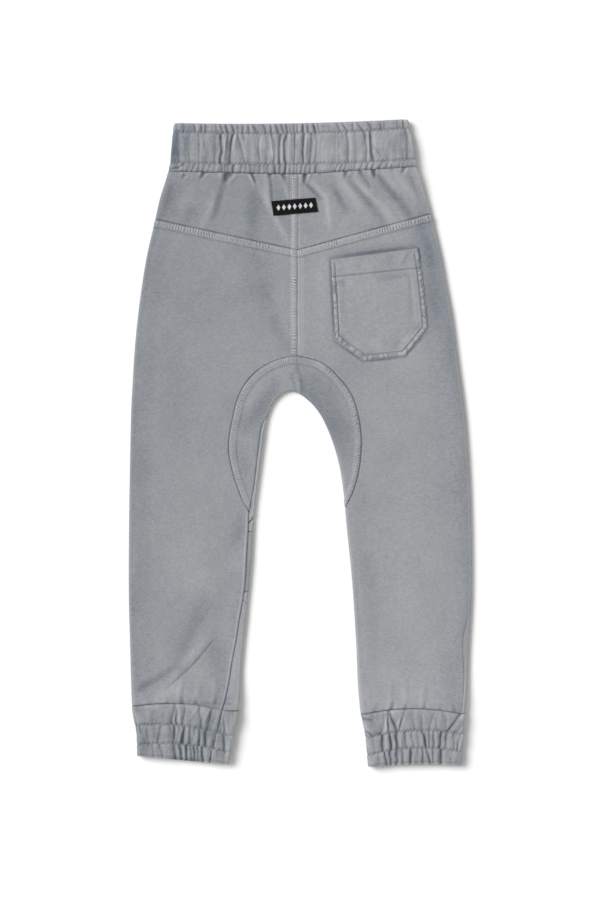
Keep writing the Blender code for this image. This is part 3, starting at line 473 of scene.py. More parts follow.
def terry_material(name, brightness=1.0):
    """Washed terry: pale where it is rubbed or painted light, slate blue in the hollows and where shade is
    painted, with a fine knit grain.
    """
    made, shader = plain_material(name, (0.8, 0.8, 0.8), 0.92, 0.15)
    shader.inputs["Sheen Weight"].default_value = 0.12
    shader.inputs["Sheen Roughness"].default_value = 0.6
    nodes, links = made.node_tree.nodes, made.node_tree.links
    place = nodes.new("ShaderNodeTexCoord")

    def cloud(scale, detail, rough, squeeze=1.0):
        """Soft noise. Squeezed, its clouds lie across the garment, as courses of knitting do."""
        along_courses = nodes.new("ShaderNodeMapping")
        along_courses.inputs["Scale"].default_value = (squeeze, 1, 1)
        links.new(place.outputs["Object"], along_courses.inputs["Vector"])
        swirl = nodes.new("ShaderNodeTexNoise")
        for socket, value in (("Scale", scale), ("Detail", detail), ("Roughness", rough)):
            swirl.inputs[socket].default_value = value
        links.new(along_courses.outputs["Vector"], swirl.inputs["Vector"])
        return swirl.outputs["Fac"]

    def worked_out(operation, *values):
        """A sum, product or the like of sockets and numbers."""
        node = nodes.new("ShaderNodeMath")
        node.operation = operation
        for socket, value in zip(node.inputs, values):
            if isinstance(value, bpy.types.NodeSocket):
                links.new(value, socket)
            else:
                socket.default_value = value
        return node.outputs[0]

    def scaled(source, factor, centre=0.5):
        """factor times (source - centre)"""
        return worked_out("MULTIPLY_ADD", source, factor, -factor * centre)

    def painted(name):
        """What wall_piece has stored for each point under this name."""
        node = nodes.new("ShaderNodeAttribute")
        node.attribute_name = name
        return node.outputs["Fac"]

    turns = scaled(painted("seam_along"), 2 * math.pi / PUCKER, 0)
    rungs = worked_out("SINE", worked_out("ADD", turns, scaled(cloud(90, 2, 0.6), 16)))
    ladder = worked_out("MULTIPLY", rungs, painted("seam_pucker"))
    level = painted("wear_and_shade")
    # the ladder paints light and shade across the puckers of a coverstitched seam
    for part in (
        scaled(cloud(24, 3, 0.6), 0.08),
        scaled(cloud(170, 3, 0.7), 0.20),
        scaled(cloud(700, 2, 0.8, 0.45), 0.46),
        scaled(ladder, 0.24, 0.2),
    ):
        level = worked_out("ADD", level, part)
    ramp = nodes.new("ShaderNodeValToRGB")
    links.new(level, ramp.inputs["Fac"])
    while len(ramp.color_ramp.elements) < len(SHADES["at"]):
        ramp.color_ramp.elements.new(0.5)
    for stop, position, *colour in zip(ramp.color_ramp.elements, *SHADES.values()):
        stop.position = position
        stop.color = (*(channel * brightness for channel in colour), 1)
    links.new(ramp.outputs["Color"], shader.inputs["Base Color"])
    raised(made, shader, 0.5, 0.0004, worked_out("ADD", cloud(900, 2, 0.6, 0.5), scaled(ladder, 0.55, 0)))
    return made


TERRY = terry_material("washed_terry")


def zip_rim(fine, coarse):
    """Triangles between a fine row of points and a coarse one. coarse holds (number in the row, point)."""
    faces = []
    for (start, this), (stop, following) in zip(coarse, coarse[1:]):
        turn = (start + stop + 1) // 2
        for number in range(start, stop):
            faces.append((fine[number], fine[number + 1], this if number < turn else following))
        faces.append((fine[turn], following, this))
    return faces


def every(count, step):
    """0, step, 2 * step ... and the last one below count."""
    return sorted(set(range(0, count, step)) | {count - 1})


def mesh_piece(name, points, faces, material):
    """A mesh of points in millimetres, as a piece of the garment."""
    mesh = bpy.data.meshes.new(name)
    mesh.from_pydata((np.array(points) * 0.001).tolist(), [], faces)
    mesh.materials.append(material)
    piece = bpy.data.objects.new(name, mesh)
    bpy.context.collection.objects.link(piece)
    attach(piece, "root")
    return piece


def paint(piece, name, values):
    """Stores a number for each point of a piece, for its material to read."""
    stored = piece.data.attributes.new(name, "FLOAT", "POINT")
    stored.data.foreach_set("value", np.array(values, np.float32))


def wall_piece(name, outer, inner, wear_and_shade, material, step=(8, 4), seam=None):
    """One closed wall of cloth: a fine outer face, a plain inner face, and its rims.

    seam holds how far along a coverstitched seam each point lies, and how strongly it is puckered there.
    """
    rows, columns = outer.shape[:2]
    kept_rows, kept_columns = every(rows, step[0]), every(columns, step[1])
    kept = [(row, column) for row in kept_rows for column in kept_columns]
    points = [*outer.reshape(-1, 3), *(inner[place] for place in kept)]
    back = {place: rows * columns + number for number, place in enumerate(kept)}
    front = np.arange(rows * columns).reshape(rows, columns)
    corners = front[:-1, :-1], front[:-1, 1:], front[1:, 1:], front[1:, :-1]
    faces = np.stack(corners, axis=2).reshape(-1, 4).tolist()
    for r0, r1 in zip(kept_rows, kept_rows[1:]):
        for c0, c1 in zip(kept_columns, kept_columns[1:]):
            faces.append((back[r0, c0], back[r1, c0], back[r1, c1], back[r0, c1]))
    for row in (0, rows - 1):
        faces += zip_rim(front[row].tolist(), [(c, back[row, c]) for c in kept_columns])
    for column in (0, columns - 1):
        faces += zip_rim(front[:, column].tolist(), [(r, back[r, column]) for r in kept_rows])
    piece = mesh_piece(name, points, faces, material)
    welded = bmesh.new()
    welded.from_mesh(piece.data)
    bmesh.ops.recalc_face_normals(welded, faces=welded.faces)
    welded.to_mesh(piece.data)
    welded.free()
    piece.data.shade_smooth()
    along, pucker = seam if seam else (0 * wear_and_shade, 0 * wear_and_shade)
    stored = ("wear_and_shade", 0.5, 0.5 + wear_and_shade), ("seam_along", 0, along), ("seam_pucker", 0, pucker)
    for label, hidden, values in stored:
        paint(piece, label, [*values.reshape(-1), *[hidden] * len(kept)])
    return piece


def line_beside(points, ways, rim, away):
    """The line on a piece that runs beside one of its rims, at a distance from it."""
    far = ways[rim][0]
    if rim in ("start", "stop"):
        far, points = far.T, points.transpose(1, 0, 2)
    if rim in ("last", "stop"):
        far, points = far[::-1], points[::-1]
    columns = range(far.shape[1])
    return np.array([[np.interp(away, far[:, c], points[:, c, k]) for k in range(3)] for c in columns])


THREAD = terry_material("washed_thread", 1.12)
THREAD_WEAR = 0.6
STITCH_LENGTH, STITCH_WIDTH = 1.7, 0.62
STITCH_SUNK, STITCH_CROWN = -0.12, 0.2  # how high a stitch lies at its ends and in its middle
STITCH_ROOT = 0.3  # how deep it is let into the cloth


def stitches(name, lines, pitch=PUCKER):
    """Short lengths of thread along some lines, drawn a little into the cloth, as one mesh."""
    points, faces = [], []
    for line in lines:
        steps = np.linalg.norm(np.diff(line, axis=0), axis=1)
        along = np.concatenate([[0], np.cumsum(steps)])
        for middle in np.arange(pitch, along[-1] - pitch, pitch):
            ends = [
                np.array([np.interp(middle + way, along, line[:, k]) for k in range(3)])
                for way in (-STITCH_LENGTH / 2, 0, STITCH_LENGTH / 2)
            ]
            run = ends[2] - ends[0]
            side = np.cross(run, (0, 0, 1)) / max(np.linalg.norm(run), 1e-6) * STITCH_WIDTH / 2
            first = len(points)
            for place, lift in zip(ends, (STITCH_SUNK, STITCH_CROWN, STITCH_SUNK)):
                crown, root = place + (0, 0, lift - STITCH_SUNK), place - (0, 0, STITCH_ROOT)
                points += [place + side, crown, place - side, root]
            for ring in (first, first + 4):
                for k in range(4):
                    faces.append((ring + k, ring + (k + 1) % 4, ring + 4 + (k + 1) % 4, ring + 4 + k))
            faces += [(first, first + 3, first + 2, first + 1), tuple(range(first + 8, first + 12))]
    sewing = mesh_piece(name, points, faces, THREAD)
    sewing.data.shade_smooth()
    paint(sewing, "wear_and_shade", [THREAD_WEAR] * len(points))
    return sewing


NEEDLES = (1.7, 6.1)  # how far a coverstitched allowance's two stitch rows run from its seam


def needles(rim, first=0, last=None):
    """The two stitch rows beside a rim, from one of its points to another."""
    return tuple((rim, away, first, last) for away in NEEDLES)


def panel(name, node, rows, bands=(), extra=None, sewn=(), sunk=SUNK):
    """A single piece of cloth on its rows, with its folds, its seams and the stitches beside its rims.

    bands holds the rims that carry a coverstitched allowance, each with a function that says where.
    """
    cloth = settle(rows)
    ways = rim_ways(cloth)
    reliefs = [folds(cloth), seam_rims(cloth, ways, sunk)]
    seam_along, pucker = 0 * cloth["height"], 0 * cloth["height"]
    for rim, there in bands:
        away, along = ways[rim]
        *relief, band_pucker = (there(cloth, ways) * part for part in band_relief(along, away))
        reliefs.append(relief)
        seam_along = np.where(band_pucker > pucker, along, seam_along)
        pucker = np.maximum(pucker, band_pucker)
    if extra:
        reliefs.append(extra(cloth, ways))
    rise, rub_and_shade = (sum(part) for part in zip(*reliefs))
    outer, inner = solid_places(cloth, rise * cloth["free"]), solid_places(cloth, 0 * rise - WALL)
    piece = wall_piece(name, outer, inner, rub_and_shade, TERRY, seam=(seam_along, pucker))
    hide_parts(node)
    lines = [line_beside(outer, ways, rim, away)[first:last] for rim, away, first, last in sewn]
    with_pieces = [stitches(name + "_stitches", lines)] if lines else []


def everywhere(cloth, ways):
    """An allowance that keeps its full height along its whole seam."""
    return 1.0


def inseam_offset(leg, down):
    return -3.0 if leg == "right" else float(smooth(LEFT_INSEAM["down"], LEFT_INSEAM["offset"], down))


EDGE_CLOSE, EDGE_FAR = 2, 20  # how far from the folded edge the gusset's seam runs, at its tips and its crown


def gusset_ring(places, count):
    """For places along the gusset's seam: the folded edge beside each, the inseam's and the seam's offset."""
    found = []
    for place in line_through(places, count):
        index = int(np.argmin(np.linalg.norm(ARCH_LINE - place, axis=1)))
        leg = "left" if index < ARCH_CROWN else "right"
        edge, tangent = ARCH_LINE[index], ARCH_TANGENT[index]
        radius = float(edge_radius(edge[1]))
        inset = float(np.linalg.norm(place - edge))
        inward = (place - edge) / inset if inset > EDGE_CLOSE else np.array([tangent[1], -tangent[0]])
        inseam = inseam_offset(leg, edge[1] if inset > EDGE_FAR else place[1])
        if inset < radius:
            reach = radius * math.acos(1 - inset / radius)
        else:
            reach = radius * math.pi / 2 + inset - radius
        back = inseam + 1.0
        if leg == "left" or inset >= 1:
            back = max(back, reach)
        found.append((Station(edge, inward, radius), inseam, back))
    return found


LEFT_RING = gusset_ring(GUSSET_LEFT, 190)
RIGHT_RING = gusset_ring(GUSSET_RIGHT, 175)
TIP = {"left": LEFT_RING[0][0].point[1], "right": RIGHT_RING[-1][0].point[1]}


def under_offset(down):
    """The offset of a seam that lies just inside the underside."""
    return -edge_radius(down) * math.pi / 2 - 1.3


def outseam_offset(leg, down):
    if leg == "left" or down < RIGHT_OUTSEAM["down"][1]:
        return under_offset(down)
    return float(smooth(RIGHT_OUTSEAM["down"], RIGHT_OUTSEAM["offset"], down))


def centre_seam(leg, down):
    return Seam(None, None, (CENTRE_SEAM + (HALF_GAP if leg == "right" else -HALF_GAP), down))


def outseam(leg, side, down):
    return Seam(side_station(leg, down), outseam_offset(leg, down) + side * HALF_GAP, None)


def inseam(leg, side, down):
    return Seam(leg_station(leg, down), inseam_offset(leg, down) + side * HALF_GAP, None)


def gusset_seam(side, station, inset, back):
    """The offset of the gusset's seam. The front one mirrors the back one, but stays on the underside."""
    return back if side > 0 else min(2 * inset - back, under_offset(station.point[1]))


def thigh_rows(leg, side, tops, shares, count, thin=1):
    """Rows to the outseam, from the centre seam and, below the crotch, from the gusset's seam.

    tops is how far down they begin at both ends.
    """
    middle, outer = tops
    rows = []
    for share in shares:
        inner_end = centre_seam(leg, middle + HALF_GAP + (CROTCH_SEAM - middle) * share)
        outer_end = outseam(leg, side, outer + HALF_GAP + (OUTER_AT_CROTCH - outer) * share)
        rows.append(cloth_row(inner_end, outer_end, side, count))
    ring = (LEFT_RING[::-1] if leg == "left" else RIGHT_RING)[::thin]
    for number, (station, inset, back) in enumerate(ring[1:], 1):
        down = OUTER_AT_CROTCH + (TIP[leg] - OUTER_AT_CROTCH) * number / (len(ring) - 1)
        inner_end = Seam(station, gusset_seam(side, station, inset, back) + side * HALF_GAP, None)
        rows.append(cloth_row(inner_end, outseam(leg, side, down), side, count))
    return rows


def leg_rows(leg, side, top, bottom, count, grain=GRAIN):
    """Rows across a leg. Below the knee they slope and bow more and more, like the cuff's seam."""
    inner_end, centre_end, outer_end = CUFF_SEAMS[leg]
    rows = []
    for share in np.linspace(0, 1, max(2, round((bottom - top) / grain))):
        low = top + (bottom - top) * share
        way = max(0.0, (low - KNEE_BOTTOM) / (centre_end - KNEE_BOTTOM))
        gap = 2 * HALF_GAP * (way > 0.999)
        inner, outer = (low + (end - centre_end) * way - gap for end in (inner_end, outer_end))
        bent = float(ease((low - BOW_TOP) / (centre_end - BOW_TOP)))
        bow = (centre_end - (inner_end + outer_end) / 2) * bent
        rows.append(cloth_row(inseam(leg, side, inner), outseam(leg, side, outer), side, count, bow))
    return rows


def back_rows(leg, count):
    shares = np.linspace(0, 1, 92) ** 1.15
    rows = thigh_rows(leg, 1, (YOKE_POINT, YOKE_SIDE[leg]), shares, count)
    return rows + leg_rows(leg, 1, TIP[leg], CUFF_SEAMS[leg][1], count)[1:]


def beside_centre(cloth, ways):
    """The rows of a back panel that end at the centre seam."""
    return near(cloth["plan"][:, :1, 1], 3, CROTCH_SEAM - 3)


def inner_edges(leg):
    """The centre seam has pressed flat, with painted light along its rim, and the left back stands up in a
    pale ridge beside the inseam.
    """
    # painted light along the centre seam's rim, against the shade there
    seam_painted_light = 0.42 if leg == "left" else 0.34

    def relief(cloth, ways):
        away, _ = ways["start"]
        centre = beside_centre(cloth, ways)
        seam = centre * near(away, 1.3)
        low = ease((cloth["plan"][:, :1, 1] - TIP["left"] + 6) / 12) * (leg == "left")
        ridge = low * hill(away - 1.9, 1.0)
        pale = 0.07 * centre * near(away, 1.5, BAND_WIDTH - 1)
        return 0.35 * ridge + 0.4 * seam, 0.12 * ridge + seam_painted_light * seam + pale

    return relief


RIGHT_OUTSEAM_SHOWS = {**SUNK, "stop": 0.1}  # it lies on top, with less shade painted in its seam
BACK_SEAMS = {"left": (("first", everywhere), ("start", beside_centre)), "right": (("first", everywhere),)}
for leg, count in (("left", 160), ("right", 168)):
    panel(
        "back_panel_" + leg, "back_" + leg, back_rows(leg, count),
        bands=BACK_SEAMS[leg], extra=inner_edges(leg), sunk=RIGHT_OUTSEAM_SHOWS if leg == "right" else SUNK,
        sewn=needles("first") + (needles("start", 7, 91) if leg == "left" else ()),
    )

# --- Back yokes -----------------------------------------------------------------------------------------
# The back yoke is two pieces of the same terry, cut in a V and joined on the centre seam. Gathers fan out
# from the waistband seam at the top. The left piece carries the centre seam's coverstitched allowance.

WAIST_LINES = table("left centre right", (3.7, 3.9, 0), (12.9, 14.2, 9.4), (43.2, 45, 40), (52, 55, 47.5))


def turn_point(station):
    """Where a folded edge has turned into the flat of the back side."""
    return station.point[0] + station.inward[0] * station.radius


def waist_seam(across):
    """How far down the waistband is sewn on: a shallow V to the centre seam."""
    left, centre, right = (WAIST_LINES[name][-1] for name in ("left", "centre", "right"))
    ends = [turn_point(side_station(side, down)) for side, down in (("left", left), ("right", right))]
    return np.interp(across, (ends[0], CENTRE_SEAM, ends[1]), (left, centre, right))


def yoke_rows(leg, count):
    rows = []
    for share in spread(round((YOKE_POINT - WAIST_LINES["centre"][-1]) / 0.95)):
        gap = HALF_GAP * (1 - 2 * share)
        middle = float(waist_seam(CENTRE_SEAM)) * (1 - share) + YOKE_POINT * share + gap
        outer = WAIST_LINES[leg][-1] * (1 - share) + YOKE_SIDE[leg] * share + gap
        rows.append(cloth_row(centre_seam(leg, middle), outseam(leg, 1, outer), 1, count))
    return rows


def pale_seam(cloth, ways):
    """The centre seam's allowance stands up higher than the others and is paler."""
    return 1.25


def pressed_pale(cloth, ways):
    """The allowance beside the centre seam has been rubbed palest of all, in a piece left a little dark."""
    return 0 * cloth["height"], -0.02 + 0.13 * near(ways["start"][0], 1.5, BAND_WIDTH - 1)


def pale_shoulder(cloth, ways):
    return 0 * cloth["height"], 0.13 * hill(ways["start"][0] - 1.2, 1.6)


for leg, area in (("left", 0.0092), ("right", 0.0088)):
    panel(
        "yoke_panel_" + leg, "yoke_" + leg, yoke_rows(leg, 190),
        bands=(("start", pale_seam),) if leg == "left" else (),
        sunk={**SUNK, "start": -0.22 if leg == "left" else -0.08},
        extra=pressed_pale if leg == "left" else pale_shoulder,
        sewn=needles("start") if leg == "left" else (),
    )

# --- Gusset ---------------------------------------------------------------------------------------------
# A long strip of terry is let in round the crotch, in a back half and a front half that meet on the
# inseam. Its back seam is coverstitched like the yoke's, and ends in a pointed tip on each leg.


KNEE_TOP = 411.5  # the seam where the gusset's front half and the thigh end on the knee panel


def edge_row(station, offset):
    """Points along the cloth at some offsets from one folded edge."""
    inward, radius = np.tile(station.inward, (len(offset), 1)), np.full(len(offset), station.radius)
    return np.column_stack([rolled_plan(station, offset), offset, inward, radius])


def gusset_rows(side, count):
    """Rows across the gusset from the inseam. The front half runs on down both legs to the knee."""
    places = LEFT_RING + RIGHT_RING[1:]
    if side < 0:
        for leg in ("left", "right"):
            downs = [*np.arange(TIP[leg] + 0.6, KNEE_TOP - HALF_GAP, 0.6), KNEE_TOP - HALF_GAP]
            strip = [(leg_station(leg, down), *[inseam_offset(leg, down)] * 2) for down in downs]
            places = strip[::-1] + places if leg == "left" else places + strip
    rows = []
    for station, inset, back in places:
        width = gusset_seam(side, station, inset, back) - inset - side * 2 * HALF_GAP
        rows.append(edge_row(station, inset + side * HALF_GAP + width * spread(count)))
    return rows


GUSSET_CROWN = mark_table(
    (-4, 238, 4, 274, 0.7, 2.0), (-8, 253, -3, 272, 0.5, 1.4), (0, 247, -12, 262, 0.3, 3),
    (-18, 256, -58, 316, 0.9, 9), (-62, 262, -40, 250, 0.5, 7), (-8, 238, 18, 240, 0.4, 5),
    (-56, 320, -52, 384, 0.45, 8), (30, 290, 44, 345, 0.15, 5), (-36, 262, -60, 300, -0.3, 6),
    (14, 262, 34, 300, -0.25, 5), (-30, 285, -44, 340, 0.25, 4), (18, 242, 27, 249, -0.5, 2.5),
)


def wide_gusset(cloth, ways):
    """The allowance narrows away into the tips."""
    width = ways["start"][0][:, -1:]
    across = cloth["plan"][:, -1:, 0]
    return (0.25 + 0.6 * ease((width - 3.5) / 5)) * (0.72 + 0.4 * ease((across + 20) / 60))


def crown_creases(cloth, ways):
    return hollows(cloth["plan"], GUSSET_CROWN)


panel(
    "gusset_back_half", "gusset_back", gusset_rows(1, 44),
    bands=(("stop", wide_gusset),), extra=crown_creases,
    sewn=(("stop", NEEDLES[0], 34, -30), ("stop", NEEDLES[1], 44, -46)),
)

EDGE_PAINTED_LIGHT = 0.05  # how much painted light lifts the shade of the rolled-up strip beside the left inseam

# Below the tip two slanting seams and a plain stretch lie between the gusset and the knee panel.
FRONT_JOINS = mark_table(
    (-43, 391.5, -53, 399, -0.8, 0.8), (-43, 394, -53, 401.5, 1.2, 0.5), (-44, 396.2, -54, 405.2, 2.4, 1.0),
    (-44, 394.5, -54, 403.5, -1.2, 0.8), (-52.6, 402, -52.2, 412, 1.2, 1.4), (-47, 380, -49, 392, 0.8, 1.5),
)


def rolled_up(marks):
    """Seams and folds that show where a front piece has rolled up onto the back, with painted light and shade
    on it.
    """

    def relief(cloth, ways):
        rise, rub_and_shade = hollows(cloth["plan"], marks)
        shows = cloth["free"] > 0.3
        return rise * shows, (rub_and_shade + EDGE_PAINTED_LIGHT) * shows

    return relief


panel(
    "gusset_front_half", "gusset_front", gusset_rows(-1, 26),
    extra=rolled_up(FRONT_JOINS),
)

# --- Front panels ---------------------------------------------------------------------------------------
# Each front thigh panel lies hidden under the back, from the waistband to the knee, and is plain.


def front_rows(leg, count):
    tops = float(waist_seam(CENTRE_SEAM)), WAIST_LINES[leg][-1]
    rows = thigh_rows(leg, -1, tops, np.linspace(0, 1, 72), count, thin=3)
    for down in np.linspace(TIP[leg], KNEE_TOP - HALF_GAP, 10)[1:]:
        station, inset = leg_station(leg, down), inseam_offset(leg, down)
        inner_end = Seam(station, gusset_seam(-1, station, inset, inset) - HALF_GAP, None)
        rows.append(cloth_row(inner_end, outseam(leg, -1, down), -1, count))
    return rows


for leg in ("left", "right"):
    panel("front_panel_" + leg, "front_" + leg, front_rows(leg, 60))

# --- Knee panels ----------------------------------------------------------------------------------------
# A panel of ribbed knit, dyed with the terry, is let into each front leg at the knee with its ribs level.
# Most of it is out of sight; on the left leg its inner end has rolled up onto the back with the inseam.

RIB_PITCH = 2.15
RIB_HEIGHT = 0.4


def knee_ribs(cloth, ways):
    """Ribs that stand out more the lower they lie, with painted light and shade along them and painted shade
    on the strip beside the inseam.
    """
    down = cloth["plan"][..., 1] - KNEE_TOP
    along_ribs = cloth["plan"] * (0.02, 1)
    phase = 0.5 + 0.5 * np.cos(2 * math.pi * down / RIB_PITCH + 1.5 * noise(along_ribs, 5, 91))
    strength = 0.5 + 0.5 * ease((down - 12) / 16) + 0.35 * noise(along_ribs, 4, 93)
    shade = 0.12 * hill(ways["start"][0], 2.2)
    return RIB_HEIGHT * strength * phase, 0.42 * strength * (phase - 0.6) - shade


for leg in ("left", "right"):
    panel(
        "knee_panel_" + leg, "knee_" + leg,
        leg_rows(leg, -1, KNEE_TOP + HALF_GAP, KNEE_BOTTOM - HALF_GAP, 70, RIB_PITCH / 5),
        extra=knee_ribs,
        sunk={**SUNK, "first": 0.42, "last": 0.42},
    )

# --- Shin panels ----------------------------------------------------------------------------------------
# The front of each lower leg, plain terry between the knee panel and the cuff.

SHIN_FOLDS = mark_table(
    (-59.5, 478.2, -50.5, 484.6, 1.4, 0.7), (-59.5, 476.6, -50.5, 483, -0.7, 0.7),
    (-76, 583.5, -66, 583, 1, 0.9), (-79, 582, -64, 576, 0.5, 2.5),
)


for leg in ("left", "right"):
    panel(
        "shin_panel_" + leg, "shin_" + leg,
        leg_rows(leg, -1, KNEE_BOTTOM + HALF_GAP, CUFF_SEAMS[leg][1], 80),
        extra=rolled_up(SHIN_FOLDS),
        sunk=RIGHT_OUTSEAM_SHOWS if leg == "right" else SUNK,
    )

# --- Patch pocket ---------------------------------------------------------------------------------------
# One square pocket of the same terry on the right back panel, turned in at its edges and edge-stitched,
# with a stitched hem along its mouth and its two lower corners cut off.

POCKET = table(
    "left left_down right right_down",
    (30.2, 139, 118.2, 127.3), (31.6, 160, 121.6, 149), (32.9, 179, 124.2, 171), (34, 199, 126.3, 191),
    (35.2, 218.5, 127.8, 208), (50, 229.5, 116.8, 221.7), (65.2, 240.3, 105.4, 235.7),
)
LAID_GAP = 0.3  # between a laid-on piece and the panel under it
POCKET_WALL = 1.7  # thickness of the pocket's cloth, which is pressed


def patch_grid(corners, rows, columns):
    """Plan places all over a laid-on patch, whose corners are a table of its two sides."""
    at, known = np.linspace(0, len(corners["left"]) - 1, rows), np.arange(len(corners["left"]))
    left, left_down, right, right_down = (
        np.interp(at, known, corners[name])[:, None] for name in ("left", "left_down", "right", "right_down")
    )
    share = spread(columns)[None]
    return np.stack([left + (right - left) * share, left_down + (right_down - left_down) * share], axis=-1)


def cloth_top(plan):
    """The bare face of the back at some places."""
    inside = edge_distance(plan)
    return {
        "plan": plan, "height": lie(plan, inside), "out": np.zeros((*plan.shape[:-1], 3)) + (0, 0, 1),
        "free": np.ones(plan.shape[:-1]), "inside": inside,
    }


def border_distance(plan, corners):
    """How far places lie inside the outline of a patch."""
    left = np.stack([corners["left"], corners["left_down"]], axis=1)
    right = np.stack([corners["right"], corners["right_down"]], axis=1)
    outline = np.concatenate([left, right[::-1], left[:1]])
    share = np.linspace(0, 1, 120)[:, None]
    return nearest(plan, np.concatenate([a + (b - a) * share for a, b in zip(outline, outline[1:])]))


def laid_piece(name, node, patch, wall, rise, rub_and_shade, material):
    """A patch of cloth laid on the back and sewn down round its edges."""
    outer, inner = solid_places(patch, LAID_GAP + wall + rise), solid_places(patch, LAID_GAP + 0 * rise)
    piece = wall_piece(name, outer, inner, rub_and_shade, material)
    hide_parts(node)
    return piece


POCKET_WRINKLES = mark_table(
    (112, 129, 102, 146, 0.5, 2.4), (108, 130, 98, 148, -0.3, 3), (94, 133, 90, 146, 0.35, 3),
    (62, 137, 58, 150, 0.3, 4), (50, 140, 74, 148, -0.3, 3), (32, 165, 48, 163, 0.6, 3),
    (76, 160, 116, 155, 0.5, 3), (42, 160, 44, 208, 0.35, 2), (110, 155, 112, 200, 0.35, 2.2),
    (40, 214, 52, 226, 0.6, 2.5), (70, 222, 84, 228, -0.4, 5), (90, 230, 104, 222, 0.5, 3.5),
    (108, 216, 122, 204, 0.6, 3), (62, 238, 76, 231, 0.5, 2.5), (34, 165, 40, 180, 0.6, 2.5),
)
MOUTH_SLOPE = -0.133  # how the mouth rises towards the outseam
HEM_DEPTH, HEM_SLOPE = 18.3, 2.6 / 88  # of the hem's stitch row below the mouth
POCKET_STITCH = 2.6  # spacing of its edge stitches
POCKET_ROW = 4.4  # how far its stitch row runs from its edge
POCKET_MIDDLE = (79, 185)
POCKET_REACH = 62  # from its middle to its edges


def pocket_relief(patch, inside):
    """The pocket's turned-in edges, its hem and its stitch rows, with their wear and the light and shade
    painted on them.
    """
    plan = patch["plan"]
    across, down = plan[..., 0], plan[..., 1]
    mouth = (down - (POCKET["left_down"][0] + (across - POCKET["left"][0]) * MOUTH_SLOPE)) * 0.99
    below_mouth = ease((mouth - 5) / 2)
    below_hem = mouth - HEM_DEPTH - HEM_SLOPE * (across - 30)
    around = np.arctan2(down - POCKET_MIDDLE[1], across - POCKET_MIDDLE[0]) * POCKET_REACH
    beside = np.stack([around + 0.5 * inside * np.sin(around / 9), 0.15 * inside], axis=-1)
    pinched = ease((noise(beside, 2.0, 41) + 0.08) / 0.5)  # where a stitch has pinched the rim
    dots, hem_dots = (0.5 + 0.5 * np.cos(2 * math.pi * way / POCKET_STITCH) for way in (around, across))
    rim = near(inside, 1.6, 3.2) * below_mouth
    allowance = ease((inside - 4.5) / 1.5) * near(inside, 2.5, 10) * ease((mouth - 18) / 3)
    hem, hem_line = near(below_hem, 2, -1.4), hill(below_hem, 0.75)
    edge_line = hill(inside - POCKET_ROW - 0.3 * noise(beside, 3, 47), 0.75) * below_mouth
    low_right = across + 0.9 * (down - POCKET_MIDDLE[1])
    right_side = ease((low_right - 62) / 24)
    fold_rise, fold_rub_and_shade = folds(patch)
    wrinkle_rise, wrinkle_painted_shading = hollows(plan, POCKET_WRINKLES)
    rise = fold_rise + wrinkle_rise + 0.25 * noise(plan, 9, 43) + 0.3 * allowance + 0.35 * hem
    rise += 0.45 * rim * (1 - 1.1 * pinched) - 0.6 * edge_line - 0.5 * hem_line
    rise -= 0.9 * near(inside, 1.6) + 1.0 * ease((low_right - 20) / 90)
    # painted light on the rim and painted shade in its pinches and wrinkles
    rub_and_shade = 0.035 + fold_rub_and_shade + wrinkle_painted_shading + rim * (0.13 - 0.22 * pinched) + 0.035 * allowance - 0.02 * hem
    rub_and_shade -= (0.10 + 0.20 * dots) * (1 - 0.3 * right_side) * edge_line + (0.06 + 0.30 * hem_dots) * hem_line
    # a dark outline of painted shade round the pocket, turned to painted light on its right side, where its
    # cast shadow falls
    return rise, rub_and_shade + (0.65 * right_side - 0.45) * near(inside, 0.9, 0.2)


patch = cloth_top(patch_grid(POCKET, 170, 170))
rise, rub_and_shade = pocket_relief(patch, border_distance(patch["plan"], POCKET))
pocket = laid_piece("patch_pocket", "pocket", patch, POCKET_WALL, rise, rub_and_shade, TERRY)

# --- Label ----------------------------------------------------------------------------------------------
# A small woven label in black, sewn on over the centre seam with its ends turned under. Its face is bare
# but for a row of plain woven diamonds.

LABEL = table("left left_down right right_down", (-28.7, 81.4, 15.3, 78), (-26.6, 95.9, 18, 91.9))
LABEL_WALL = 0.7  # thickness of the woven tape
label_cloth, shader = plain_material("woven_label", (0.006, 0.006, 0.0065), 0.8, 0.1)
place = label_cloth.node_tree.nodes.new("ShaderNodeTexCoord")
weave = label_cloth.node_tree.nodes.new("ShaderNodeTexWave")
weave.inputs["Scale"].default_value = 700
label_cloth.node_tree.links.new(place.outputs["Object"], weave.inputs["Vector"])
raised(label_cloth, shader, 0.5, 0.0002, weave.outputs["Fac"])


def label_lift(plan):
    """The label bulges a little, and more where it crosses the centre seam's allowance."""
    return 0.5 + 0.75 * ease((plan[..., 0] + 10.5) / 2) * near(plan[..., 0], 1.6, -2.2)


patch = cloth_top(patch_grid(LABEL, 40, 90))
rise = label_lift(patch["plan"]) - 0.4 * near(border_distance(patch["plan"], LABEL), 0.8)
label = laid_piece("woven_label", "label", patch, LABEL_WALL, rise, 0 * rise, label_cloth)

